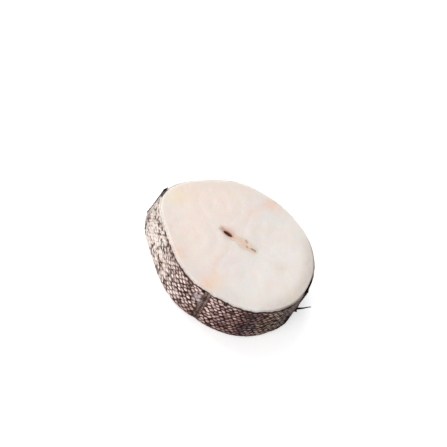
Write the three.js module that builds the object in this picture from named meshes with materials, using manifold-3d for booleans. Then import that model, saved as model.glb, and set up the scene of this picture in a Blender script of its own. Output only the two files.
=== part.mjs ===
// A raw hake steak: one slice cut across the tail half of the fish, skin on, lying on a cut face.
// Millimetres, +Z up. +X points to the back, -X to the belly edge, Y runs across the fish and
// +Z runs along the body towards the tail. The backbone's mid-line passes through x = 0, y = 0
// of the fish's own section. The finished part is then set so that its origin is the middle of
// its box, on the surface that it lies on.

import * as THREE from "three";
import { mergeVertices } from "three/addons/utils/BufferGeometryUtils.js";
import Module from "manifold-3d";

// ---- the slice ----
const THICKNESS = 25; // from cut face to cut face, beside the backbone
const RISE_TO_BACK = 0.037; // the upper cut is a little oblique: rise per mm towards the back
const RISE_ACROSS = -0.013; // and per mm across the fish
const HALF_DEPTH = 43; // half of the upper face from belly edge to back
const HALF_WIDTH = 33.9; // half of the upper face across the fish
const EGG = 0.2; // share by which the back half is wider, and the belly half narrower
const BELLY_FLARE = 2.2; // the body deepens towards the head: extra reach of the lower face
const FLANK_FLARE = 1.4; // the same across the fish
const SWELLINGS = [
  // the uneven outline: bearing from the back in degrees, half spread in degrees, rise in mm
  { at: -152, spread: 20, rise: -2.2 },
  { at: -103, spread: 20, rise: 1.4 },
  { at: -18, spread: 26, rise: 1.1 },
  { at: 48, spread: 26, rise: -2.1 },
  { at: 115, spread: 22, rise: 2.3 },
];
const LOW_SWELLING = { at: -10, spread: 10, rise: 1.2 }; // one more, which fades upwards

// ---- flesh ----
const DOME = 0.6; // the cut muscle swells up in the middle of the upper face
const FLAKE_RELIEF = 0.13; // height of the faint rings that the muscle layers leave
const FLAKE_PITCH = 7.5; // from ring to ring
const FLAKE_CENTRES = [
  // middles of the four muscle cones, two to the back and two to the belly
  { x: 17, y: 16 },
  { x: 17, y: -16 },
  { x: -17, y: 13 },
  { x: -17, y: -13 },
];
const RIM_ROUND = 1.3; // radius of the upper edge
const FOOT_ROUND = 0.8; // radius of the lower edge
const FLESH_COLUMNS = 84;
const FACE_RINGS = 13;
const ROUND_STEPS = 3;
const WALL_STEPS = 3;

// ---- skin ----
const SKIN = 0.9; // thickness, scales not counted
const GAP = 0.3; // clearance between neighbouring bodies
const SKIN_SHRINK = 0.6; // how far the skin's upper edge has drawn back below the flesh
const RAGGED_WAVES = [
  // unevenness of that edge: waves round the body, height in mm, phase in radians
  { waves: 9, height: 0.15, phase: 1 },
  { waves: 23, height: 0.09, phase: 0 },
];
const SCALE_COLUMNS = 98; // scales round the body in one row
const SCALE_ROWS = 13; // offset half rows between the two cut faces
const SCALE_RISE = 0.38; // height of a scale's free edge
const SCALE_LEAN = 0.32; // share of a row by which that edge lies towards the tail
const BARE_FADE = 3.5; // width over which the scales rise beside the smooth skin at a fin
const LATERAL_X = 3.9; // place of the lateral line at the upper face
const LATERAL_SLANT = 0.9; // how much nearer the back it is at the lower face
const LATERAL_DENT = 0.45; // depth of its groove
const LATERAL_WIDTH = 1.7; // half width of that groove

// ---- backbone ----
const BONE_X = 1.5; // middle of the cut bone, with its two arches
const BONE_HALF = 11.2; // half length from belly arch to back arch
const BONE_WAIST = 1.5; // half width of the arches
const BONE_SWELLINGS = [
  { at: -4.4, spread: 3.4, rise: 0.7 }, // wall of the blood canal
  { at: 5.6, spread: 3.0, rise: 1.4 }, // body of the vertebra
  { at: 10.6, spread: 2.0, rise: 0.6 }, // wall of the nerve canal
];
const BONE_SUNK = 0.15; // the cut bone lies this far below the flesh
const BONE_POINTS = 56;
const BLOOD_CANAL = { x: -4.5, halfLength: 2.3, halfWidth: 0.95, sunk: 1.3 };
const NERVE_CANAL = { x: 10.5, halfLength: 1.35, halfWidth: 0.62, sunk: 0.5 };
const FILLING_GAP = 0.22; // round what fills a canal
const CANAL_SEGMENTS = 18;

// ---- fins ----
const FIN_GAP = 0.25; // between strip and skin
const FIN_FADE = 1.2; // length over which a fin runs out at either end
const FIN_END = 0.3; // share of its height that is left there
const RAY_STEPS = 4; // sections for each ray
const WEB = 0.6; // between two rays the cut web stands out by this share of them
const RAY_FOOT = 1.5; // thickness of the fin where it leaves the strip
const RAY_EDGE = 0.8; // and at its cut edge
const BACK_FIN = {
  turns: { lower: -0.015, upper: -0.042 }, // its place on the outline of either cut, in radians
  foot: 0.5, // heights of its two ends
  top: 25.2,
  bare: 11, // the skin beside it is smooth, out to this distance
  width: 3.4, // of the strip of skin that the fin stands on
  keel: 0.35, // height of that strip
  rays: [1.5, 1.2, 0.5, 0.3, 0.25, 0.25, 0.25, 0.3, 0.3], // length of each cut ray, from below
};
const BELLY_FIN = {
  turns: { lower: Math.PI + 0.011, upper: Math.PI - 0.13 },
  foot: 0.6,
  top: 22.8,
  bare: 1.6,
  width: 2.8,
  keel: 0.3,
  rays: [0.7, 0.5, 0.35, 0.3, 0.3, 0.35, 0.3, 0.35, 0.4],
};
const LONG_RAY = { level: 3.4, reach: 6.9, across: 4.6, rise: 1.5, radius: 0.5, bow: 0.5 };
const LONG_RAY_STEPS = 6;
const LONG_RAY_SIDES = 6;

const FLESH_INSET = SKIN + GAP;
const FULL_TURN = 2 * Math.PI;
const WELD = 1e-4; // corners nearer than this become one
const NEARBY = 0.02; // turn in radians to either side that gives the outline's direction

const finish = (color, roughness) =>
  new THREE.MeshStandardMaterial({ color, roughness, metalness: 0 });
const FINISHES = {
  flesh: finish("#ebdfd6", 0.42),
  skin: finish("#8a716a", 0.45),
  bone: finish("#e3cab8", 0.55),
  clot: finish("#4c140b", 0.3),
  nerve: finish("#a59691", 0.5),
  fin: finish("#2b2220", 0.6),
};

const wasm = await Module();
wasm.setup();

/** A bell-shaped hump of height `rise` at `at`, seen from `where`. */
function hump(where, { at, spread, rise }) {
  return rise * Math.exp(-(((where - at) / spread) ** 2));
}

/** Smallest angle in degrees between two bearings, signed. */
function bearingFrom(bearing, at) {
  return ((((bearing - at) % 360) + 540) % 360) - 180;
}

/** Height of the plane of the upper cut. */
function cutHeight(x, y) {
  return THICKNESS + RISE_TO_BACK * x + RISE_ACROSS * y;
}

/** Point of the steak's side at a turn from the back, `inset` mm inside the skin's outer face. */
function sidePoint(turn, z, inset) {
  const lower = 1 - z / THICKNESS;
  const along = Math.cos(turn);
  const flare = along < 0 ? BELLY_FLARE * lower : 0;
  const x = (HALF_DEPTH + flare) * along;
  const y = (HALF_WIDTH + FLANK_FLARE * lower) * Math.sin(turn) * (1 + EGG * along);
  const bearing = THREE.MathUtils.radToDeg(Math.atan2(y, x));
  let reach = Math.hypot(x, y) - inset;
  for (const swelling of SWELLINGS) {
    reach += hump(bearingFrom(bearing, swelling.at), { ...swelling, at: 0 });
  }
  reach += lower * hump(bearingFrom(bearing, LOW_SWELLING.at), { ...LOW_SWELLING, at: 0 });
  const scale = reach / Math.hypot(x, y);
  return new THREE.Vector3(x * scale, y * scale, z);
}

/** Height of the swollen, faintly ringed muscle over the plane of the cut. */
function muscleRelief(x, y) {
  const outward = Math.min(1, (x / HALF_DEPTH) ** 2 + (y / HALF_WIDTH) ** 2);
  let nearest = Infinity;
  for (const centre of FLAKE_CENTRES) {
    nearest = Math.min(nearest, Math.hypot(x - centre.x, y - centre.y));
  }
  const rings = FLAKE_RELIEF * Math.cos((FULL_TURN * nearest) / FLAKE_PITCH);
  return DOME * (1 - outward) + rings * (1 - outward);
}

/** Point of the cut bone's outline, grown outwards by `grow` mm. */
function bonePoint(turn, z, grow) {
  const x = BONE_X + (BONE_HALF + grow) * Math.cos(turn);
  let halfWidth = BONE_WAIST + grow;
  for (const swelling of BONE_SWELLINGS) {
    halfWidth += hump(x, swelling);
  }
  return new THREE.Vector3(x, halfWidth * Math.sin(turn), z);
}

/** A ring-shaped body: a closed profile, given as one function of (turn, column) for each of its
 * points, carried once round. The profile runs outwards over the top and inwards below.
 * `splitAcross` says which way a four-sided face is split. */
function ringBody(columns, profile, splitAcross) {
  const positions = [];
  for (let column = 0; column < columns; column += 1) {
    const turn = (FULL_TURN * column) / columns;
    for (const station of profile) {
      positions.push(...station(turn, column).toArray());
    }
  }
  const rows = profile.length;
  const faces = [];
  for (let column = 0; column < columns; column += 1) {
    const next = (column + 1) % columns;
    for (let row = 0; row < rows; row += 1) {
      const below = (row + 1) % rows;
      const a = column * rows + row;
      const b = next * rows + row;
      const c = next * rows + below;
      const d = column * rows + below;
      if (splitAcross(column, row)) {
        faces.push(a, d, b, d, c, b);
      } else {
        faces.push(a, d, c, a, c, b);
      }
    }
  }
  const geometry = new THREE.BufferGeometry();
  geometry.setAttribute("position", new THREE.Float32BufferAttribute(positions, 3));
  geometry.setIndex(faces);
  return geometry;
}

/** The muscle: swollen upper face, rounded edges, flat lower face, and a pocket for the bone. */
function fleshGeometry() {
  const profile = [];
  for (let ring = 0; ring <= FACE_RINGS; ring += 1) {
    const share = ring / FACE_RINGS;
    profile.push((turn) => {
      const inner = bonePoint(turn, THICKNESS, GAP);
      const outer = sidePoint(turn, THICKNESS, FLESH_INSET + RIM_ROUND);
      const point = inner.lerp(outer, share);
      return point.setZ(cutHeight(point.x, point.y) + muscleRelief(point.x, point.y));
    });
  }
  for (let step = 1; step <= ROUND_STEPS; step += 1) {
    const bend = ((Math.PI / 2) * step) / ROUND_STEPS;
    profile.push((turn) => {
      const inset = FLESH_INSET + RIM_ROUND * (1 - Math.sin(bend));
      const point = sidePoint(turn, THICKNESS, inset);
      const edge = cutHeight(point.x, point.y) + muscleRelief(point.x, point.y);
      return point.setZ(edge - RIM_ROUND * (1 - Math.cos(bend)));
    });
  }
  for (let step = 1; step <= WALL_STEPS; step += 1) {
    const lower = step / WALL_STEPS;
    profile.push((turn) => {
      const z = THREE.MathUtils.lerp(THICKNESS - RIM_ROUND, FOOT_ROUND, lower);
      return sidePoint(turn, z, FLESH_INSET);
    });
  }
  for (let step = 1; step <= ROUND_STEPS; step += 1) {
    const bend = ((Math.PI / 2) * step) / ROUND_STEPS;
    const z = FOOT_ROUND * (1 - Math.sin(bend));
    profile.push((turn) => sidePoint(turn, z, FLESH_INSET + FOOT_ROUND * (1 - Math.cos(bend))));
  }
  profile.push((turn) => bonePoint(turn, 0, GAP));
  return ringBody(FLESH_COLUMNS, profile, () => false);
}

/** Where a fin stands at a height: its foot, the way it points, and the way across it. */
function finStand({ turns }, z) {
  const turn = THREE.MathUtils.lerp(turns.lower, turns.upper, z / THICKNESS);
  const ahead = sidePoint(turn + NEARBY, z, -FIN_GAP);
  const behind = sidePoint(turn - NEARBY, z, -FIN_GAP);
  const across = ahead.sub(behind).normalize();
  const outward = new THREE.Vector3(across.y, -across.x, 0);
  return { foot: sidePoint(turn, z, -FIN_GAP), outward, across };
}

/** Height of a scale at a point of the skin, as a share: none on the smooth skin at a fin. */
function scaleShare(point) {
  const fin = point.x > 0 ? BACK_FIN : BELLY_FIN;
  const away = Math.abs(point.y - finStand(fin, point.z).foot.y) - fin.bare;
  return THREE.MathUtils.clamp(away / BARE_FADE, 0, 1);
}

/** Depth of the groove of the lateral line at a point of the skin. */
function lateralDent(point) {
  const lower = 1 - point.z / THICKNESS;
  const line = LATERAL_X + LATERAL_SLANT * lower;
  return hump(point.x, { at: line, spread: LATERAL_WIDTH, rise: LATERAL_DENT });
}

/** The skin: a band round the flesh whose outer face carries offset rows of scales. Each scale is
 * a lozenge with its high point near the edge that faces the tail. */
function skinGeometry() {
  const columns = 2 * SCALE_COLUMNS;
  const upperEdge = (turn) => {
    const rim = sidePoint(turn, THICKNESS, 0);
    let edge = cutHeight(rim.x, rim.y) - SKIN_SHRINK;
    for (const { waves, height, phase } of RAGGED_WAVES) {
      edge += height * Math.sin(waves * turn + phase);
    }
    return edge;
  };
  const profile = [(turn) => sidePoint(turn, upperEdge(turn), SKIN)];
  for (let row = 0; row <= SCALE_ROWS; row += 1) {
    profile.push((turn, column) => {
      const top = upperEdge(turn);
      const pitch = (top - GAP) / SCALE_ROWS;
      const flat = sidePoint(turn, top - row * pitch, 0);
      const edgeRow = row === 0 || row === SCALE_ROWS;
      const raised = (column + row) % 2 === 0 && !edgeRow;
      const share = raised ? scaleShare(flat) : 0;
      const z = flat.z + share * SCALE_LEAN * pitch;
      return sidePoint(turn, z, lateralDent(flat) - share * SCALE_RISE);
    });
  }
  profile.push((turn) => sidePoint(turn, GAP, SKIN));
  // Station 1 is row 0. A four-sided face is split along the edge between two lozenges.
  return ringBody(columns, profile, (column, station) => (column + station) % 2 === 1);
}

/** A closed outline from a function of the turn, as a flat shape. */
function shapeFrom(pointAt, count) {
  const points = [];
  for (let k = 0; k < count; k += 1) {
    const point = pointAt((FULL_TURN * k) / count);
    points.push(new THREE.Vector2(point.x, point.y));
  }
  return new THREE.Shape(points);
}

/** An upright prism on the lower face whose top follows the oblique cut, `sunk` mm below it. */
function uprightTo(shape, sunk) {
  const geometry = new THREE.ExtrudeGeometry(shape, {
    depth: THICKNESS,
    bevelEnabled: false,
    curveSegments: CANAL_SEGMENTS,
  });
  const position = geometry.getAttribute("position");
  for (let k = 0; k < position.count; k += 1) {
    if (position.getZ(k) > THICKNESS / 2) {
      position.setZ(k, cutHeight(position.getX(k), position.getY(k)) - sunk);
    }
  }
  return geometry;
}

/** An ellipse for a canal, or for what fills it. */
function canalPath({ x, halfLength, halfWidth }, inset) {
  const path = new THREE.Shape();
  path.absellipse(x, 0, halfLength - inset, halfWidth - inset, 0, FULL_TURN, false, 0);
  return path;
}

/** The cut vertebra with the canal for the blood vessels below it and the nerve canal above. */
function boneGeometry() {
  const outline = shapeFrom((turn) => bonePoint(turn, 0, 0), BONE_POINTS);
  outline.holes.push(canalPath(BLOOD_CANAL, 0), canalPath(NERVE_CANAL, 0));
  return uprightTo(outline, BONE_SUNK - DOME);
}

/** A body through equal-sided cross-sections, each turning left about the way they run. */
function loft(sections) {
  const sides = sections[0].length;
  const positions = sections.flatMap((section) => section.flatMap((point) => point.toArray()));
  const faces = [];
  for (let level = 0; level + 1 < sections.length; level += 1) {
    for (let side = 0; side < sides; side += 1) {
      const a = level * sides + side;
      const b = level * sides + ((side + 1) % sides);
      faces.push(a, b, b + sides, a, b + sides, a + sides);
    }
  }
  const last = (sections.length - 1) * sides;
  for (let side = 1; side + 1 < sides; side += 1) {
    faces.push(0, side + 1, side);
    faces.push(last, last + side, last + side + 1);
  }
  const geometry = new THREE.BufferGeometry();
  geometry.setAttribute("position", new THREE.Float32BufferAttribute(positions, 3));
  geometry.setIndex(faces);
  return geometry;
}

/** A tapered rod from `start` to `end` that bows upwards in the middle. */
function rod(start, end, startRadius, endRadius, bow, steps) {
  const along = end.clone().sub(start).normalize();
  const u = new THREE.Vector3(0, 0, 1).cross(along).normalize();
  const v = along.clone().cross(u);
  const sections = [];
  for (let step = 0; step <= steps; step += 1) {
    const share = step / steps;
    const middle = start.clone().lerp(end, share);
    middle.z += 4 * bow * share * (1 - share);
    const radius = THREE.MathUtils.lerp(startRadius, endRadius, share);
    const section = [];
    for (let side = 0; side < LONG_RAY_SIDES; side += 1) {
      const angle = (FULL_TURN * side) / LONG_RAY_SIDES;
      const rim = u.clone().multiplyScalar(radius * Math.cos(angle));
      section.push(rim.addScaledVector(v, radius * Math.sin(angle)).add(middle));
    }
    sections.push(section);
  }
  return loft(sections);
}

/** A closed geometry as a solid that can be joined. */
function solidOf(geometry) {
  const welded = mergeVertices(geometry, WELD);
  return new wasm.Manifold(
    new wasm.Mesh({
      numProp: 3,
      vertProperties: Float32Array.from(welded.getAttribute("position").array),
      triVerts: Uint32Array.from(welded.index.array),
    }),
  );
}

/** Several closed geometries joined into one. */
function joined(geometries) {
  const whole = geometries.map(solidOf).reduce((sum, solid) => sum.add(solid));
  const mesh = whole.getMesh();
  const geometry = new THREE.BufferGeometry();
  geometry.setAttribute("position", new THREE.BufferAttribute(mesh.vertProperties, 3));
  geometry.setIndex(new THREE.BufferAttribute(mesh.triVerts, 1));
  return geometry;
}

/** Length of a trimmed fin at a level counted in rays: full on each ray, less on the web. */
function finReach(level, rays) {
  const nearest = Math.min(rays.length - 1, Math.floor(level));
  const offRay = level - nearest - 0.5;
  return rays[nearest] * (WEB + (1 - WEB) * Math.cos(Math.PI * offRay) ** 2);
}

/** A trimmed fin: a low strip on the skin, and the cut rays that stand on it with their web. */
function finGeometry(fin) {
  const { foot, top, width, keel, rays } = fin;
  const levels = rays.length * RAY_STEPS;
  const sections = [];
  for (let level = 0; level <= levels; level += 1) {
    const z = THREE.MathUtils.lerp(foot, top, level / levels);
    const toEnd = Math.min(z - foot, top - z) / FIN_FADE;
    const fade = THREE.MathUtils.clamp(toEnd, FIN_END, 1);
    const strip = keel * fade;
    const tip = strip + finReach(level / RAY_STEPS, rays) * fade;
    const outline = [
      [0, -width / 2],
      [strip, -RAY_FOOT / 2],
      [tip, -RAY_EDGE / 2],
      [tip, RAY_EDGE / 2],
      [strip, RAY_FOOT / 2],
      [0, width / 2],
    ];
    const stand = finStand(fin, z);
    const placed = outline.map(([out, aside]) => {
      const point = stand.foot.clone().addScaledVector(stand.outward, out);
      return point.addScaledVector(stand.across, aside);
    });
    sections.push(placed);
  }
  return loft(sections);
}

/** The one ray that the knife has left long, at the back fin. */
function longRayGeometry() {
  const { level, reach, across, rise, radius, bow } = LONG_RAY;
  const stand = finStand(BACK_FIN, level);
  const start = stand.foot.clone().addScaledVector(stand.outward, BACK_FIN.keel);
  const end = start.clone().addScaledVector(stand.outward, reach);
  end.addScaledVector(stand.across, across);
  end.z += rise;
  return rod(start, end, radius, radius / 2, bow, LONG_RAY_STEPS);
}

/** A named piece of the steak. */
function piece(name, geometry, material) {
  const mesh = new THREE.Mesh(geometry, material);
  mesh.name = name;
  return mesh;
}

const backFin = joined([finGeometry(BACK_FIN), longRayGeometry()]);
const clot = uprightTo(canalPath(BLOOD_CANAL, FILLING_GAP), BLOOD_CANAL.sunk);
const nerve = uprightTo(canalPath(NERVE_CANAL, FILLING_GAP), NERVE_CANAL.sunk);

const steak = new THREE.Group();
steak.add(
  piece("flesh", fleshGeometry(), FINISHES.flesh),
  piece("skin", skinGeometry(), FINISHES.skin),
  piece("backbone", boneGeometry(), FINISHES.bone),
  piece("blood_clot", clot, FINISHES.clot),
  piece("spinal_cord", nerve, FINISHES.nerve),
  piece("back_fin", backFin, FINISHES.fin),
  piece("belly_fin", finGeometry(BELLY_FIN), FINISHES.fin),
);

const box = new THREE.Box3().setFromObject(steak);
const middle = box.getCenter(new THREE.Vector3());
steak.position.set(-middle.x, -middle.y, -box.min.z);

const part = new THREE.Group();
part.name = "hake_steak";
part.add(steak);

export default part;
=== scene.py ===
"""A raw hake steak, cut across the tail half of the fish, lying on its lower cut face.

Each piece is worked out in millimetres about the fish's backbone: +X points to the back, -X to
the belly edge, Y runs across the fish and +Z along the body towards the tail. Place then carries
it into the frame, in metres.
"""

import logging
import math
from dataclasses import dataclass, field
from enum import Enum

import bpy
import numpy as np
from mathutils import Matrix, Vector


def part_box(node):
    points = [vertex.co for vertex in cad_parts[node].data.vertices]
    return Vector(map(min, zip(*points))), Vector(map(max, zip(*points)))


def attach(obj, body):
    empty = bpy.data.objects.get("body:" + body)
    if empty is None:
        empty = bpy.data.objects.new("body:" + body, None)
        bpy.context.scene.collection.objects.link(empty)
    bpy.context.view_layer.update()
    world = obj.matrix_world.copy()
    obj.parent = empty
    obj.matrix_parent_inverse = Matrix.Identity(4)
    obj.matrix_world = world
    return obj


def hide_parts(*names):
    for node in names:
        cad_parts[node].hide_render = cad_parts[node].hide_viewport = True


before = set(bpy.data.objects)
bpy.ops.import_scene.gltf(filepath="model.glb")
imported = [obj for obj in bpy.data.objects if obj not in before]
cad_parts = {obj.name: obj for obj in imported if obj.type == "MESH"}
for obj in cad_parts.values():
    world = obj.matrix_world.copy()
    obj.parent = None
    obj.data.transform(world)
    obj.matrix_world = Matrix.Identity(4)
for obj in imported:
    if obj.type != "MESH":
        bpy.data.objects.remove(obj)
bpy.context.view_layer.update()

MM = 0.001
FULL_TURN = 2 * math.pi
log = logging.getLogger("hake_steak")

Array = np.ndarray
Pair = tuple[float, float]
Material = bpy.types.Material


# ---------------- shape of the fish


@dataclass(frozen=True)
class Swelling:
    """A bell-shaped rise, or hollow below zero: where it is, its half width, and its height."""

    at: float
    spread: float
    rise: float

    def height(self, away: Array) -> Array:
        """Height at a distance from the middle, in the unit of the spread."""
        return self.rise * np.exp(-((away / self.spread) ** 2))

    def over(self, value: Array) -> Array:
        """Height at a value."""
        return self.height(value - self.at)


def smooth_step(low: float, high: float, value: Array) -> Array:
    """Rises smoothly from 0 at low to 1 at high.

    Args:
        low: Value where the rise starts.
        high: Value where it ends; below low, the step falls instead.
        value: Values to judge.

    Returns:
        Shares from 0 to 1.
    """
    share = np.clip((value - low) / (high - low), 0.0, 1.0)
    return share * share * (3.0 - 2.0 * share)


@dataclass(frozen=True)
class Fade:
    """A smooth change from 0 at one value to 1 at another; fray is how far grain shifts both."""

    start: float
    full: float
    fray: float = 0.0

    def at(self, value: Array, grain: Array | float = 0.0) -> Array:
        """Shares from 0 to 1."""
        return smooth_step(self.start, self.full, value + self.fray * grain)


@dataclass(frozen=True)
class Slope:
    """A number that follows another evenly: what it is at 0, and how far it rises for each 1."""

    start: float
    rise: float

    def at(self, value: Array) -> Array:
        """The number where the other has these values."""
        return self.start + self.rise * value


def within_half_turn(degrees: Array) -> Array:
    """The same angles, between -180 and 180 degrees."""
    return (degrees + 180.0) % 360.0 - 180.0


def as_share(value: Array) -> Array:
    """The values, kept from 0 to 1."""
    return np.clip(value, 0.0, 1.0)


@dataclass(frozen=True)
class Spot:
    """A soft round spot: its middle and its spread in mm, and its strength there."""

    x: float
    y: float
    spread: float
    strength: float = 1.0

    def at(self, x: Array, y: Array) -> Array:
        """Strength at places towards the back and across the fish."""
        return self.strength * np.exp(-(((x - self.x) ** 2 + (y - self.y) ** 2) / self.spread**2))


@dataclass(frozen=True)
class Section:
    """The cross-section of the fish and the two cuts that make the steak, in mm."""

    thickness: float = 25.0
    rise_to_back: float = 0.037
    rise_across: float = -0.013
    half_depth: float = 43.0
    half_width: float = 33.9
    egg: float = 0.2
    belly_flare: float = 2.2
    flank_flare: float = 1.4
    swellings: tuple[Swelling, ...] = (
        Swelling(-152.0, 20.0, -2.2),
        Swelling(-103.0, 20.0, 1.4),
        Swelling(-18.0, 26.0, 1.1),
        Swelling(48.0, 26.0, -2.1),
        Swelling(115.0, 22.0, 2.3),
    )
    low_swelling: Swelling = Swelling(-10.0, 10.0, 1.2)
    swollen_from: Fade = Fade(7.0, 15.0)
    swollen_to: Fade = Fade(179.0, 168.0)
    narrowing_reach: float = 50.0

    def side(self, turn: Array, z: Array, inset: Array) -> Array:
        """Points of the steak's side.

        Args:
            turn: Turns from the back.
            z: Heights over the lower cut.
            inset: Distances inside the skin's nominal outer face.

        Returns:
            Points, with one more axis than the arguments.
        """
        turn, z, inset = np.broadcast_arrays(*(np.asarray(a, float) for a in (turn, z, inset)))
        lower = 1.0 - z / self.thickness
        along = np.cos(turn)
        x = (self.half_depth + np.where(along < 0.0, self.belly_flare * lower, 0.0)) * along
        y = (self.half_width + self.flank_flare * lower) * np.sin(turn) * (1.0 + self.egg * along)
        bearing = np.degrees(np.arctan2(y, x))
        reach = np.hypot(x, y)
        grown = reach - inset
        for swelling in self.swellings:
            grown = grown + swelling.height(within_half_turn(bearing - swelling.at))
        grown = grown + lower * self.low_swelling.over(bearing)
        return np.stack([x * grown / reach, y * grown / reach, z], axis=-1)

    def cut_height(self, x: Array, y: Array) -> Array:
        """Height of the oblique upper cut over the lower one."""
        return self.thickness + self.rise_to_back * x + self.rise_across * y

    def swollen_rim(self, turn: Array) -> Array:
        """1 on the side of the rim where the flesh has swollen over the skin's edge."""
        degrees = within_half_turn(np.degrees(turn))
        return self.swollen_from.at(degrees) * self.swollen_to.at(degrees)

    def turn_at(self, x: Array, y: Array) -> Array:
        """Turns from the back of places in the cut, near enough to colour it by."""
        narrowing = 1.0 + self.egg * x / self.narrowing_reach
        return np.arctan2(y / (self.half_width * narrowing), x / self.half_depth)

    def speed(self, turn: Array) -> Array:
        """Millimetres of outline for each radian of turn, half way up the steak.

        Args:
            turn: Turns from the back.

        Returns:
            The speed at each turn.
        """
        step = 1e-3
        middle = np.full_like(turn, self.thickness / 2)
        ahead = self.side(turn + step, middle, 0.0)
        behind = self.side(turn - step, middle, 0.0)
        return np.linalg.norm(ahead - behind, axis=-1) / (2 * step)


@dataclass(frozen=True)
class Canal:
    """An upright canal through the cut bone, with what fills it."""

    x: float
    half_length: float
    half_width: float
    sunk: float

    def reach(self, x: Array, y: Array) -> Array:
        """0 in the canal's middle and 1 on its wall."""
        return np.hypot((x - self.x) / self.half_length, y / self.half_width)


@dataclass(frozen=True)
class Spine:
    """The cut backbone's outline and its two canals, in mm."""

    x: float = 1.5
    half_length: float = 11.2
    waist: float = 1.5
    swellings: tuple[Swelling, ...] = (
        Swelling(-4.4, 3.4, 0.7),
        Swelling(5.6, 3.0, 1.4),
        Swelling(10.6, 2.0, 0.6),
    )
    blood: Canal = Canal(x=-4.5, half_length=2.3, half_width=0.95, sunk=1.3)
    nerve: Canal = Canal(x=10.5, half_length=1.35, half_width=0.62, sunk=0.5)

    def half_width(self, x: Array) -> Array:
        """Half width of the bone at places between its two ends."""
        return sum((swelling.over(x) for swelling in self.swellings), np.full_like(x, self.waist))

    def outline(self, turn: Array) -> Array:
        """Points of the outline at turns from the back, as x and y."""
        x = self.x + self.half_length * np.cos(turn)
        return np.stack([x, self.half_width(x) * np.sin(turn)], axis=-1)


@dataclass(frozen=True)
class Place:
    """Carries points from the fish's own axes, in mm, to the frame, in metres."""

    shift: Pair

    @classmethod
    def from_frame(cls, spine: Spine) -> "Place":
        """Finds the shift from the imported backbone, whose outline is known in both.

        Args:
            spine: The backbone in the fish's axes.

        Returns:
            The place.
        """
        low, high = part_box("backbone")
        middle = (low + high) / 2
        return cls((middle.x / MM - spine.x, middle.y / MM))

    def carry(self, points: Array) -> Array:
        """Points in metres, in the frame."""
        return (np.asarray(points, float) + np.array([*self.shift, 0.0])) * MM


class Grain:
    """Smooth seeded noise: random values on a grid, blended between its corners."""

    side = 48

    def __init__(self, seed: int) -> None:
        """Draws the grid's values from a seed."""
        self.values = np.random.default_rng(seed).uniform(-1.0, 1.0, (self.side,) * 3)

    def at(self, points: Array, pitch: float) -> Array:
        """Noise at points.

        Args:
            points: Points, in mm.
            pitch: Distance between two of the grid's corners.

        Returns:
            Values from -1 to 1.
        """
        scaled = np.asarray(points, float) / pitch
        corner = np.floor(scaled).astype(int)
        share = scaled - corner
        share = share * share * (3.0 - 2.0 * share)
        total = np.zeros(scaled.shape[:-1])
        for offset in np.ndindex(2, 2, 2):
            index = (corner + np.array(offset)) % self.side
            weight = np.prod(np.where(np.array(offset) == 1, share, 1.0 - share), axis=-1)
            total += weight * self.values[index[..., 0], index[..., 1], index[..., 2]]
        return total


@dataclass(frozen=True)
class Lumps:
    """One layer of unevenness: the seed of its grain, the lumps' size in mm, and their strength.

    Tightness is how many times shorter the lumps are along the fish; below 1 they are drawn out.
    """

    seed: int
    pitch: float
    strength: float = 1.0
    tightness: float = 1.0

    def at(self, points: Array) -> Array:
        """Values from 0 up or down to the strength."""
        return self.strength * Grain(self.seed).at(points * (1.0, 1.0, self.tightness), self.pitch)


# ---------------- meshes


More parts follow.
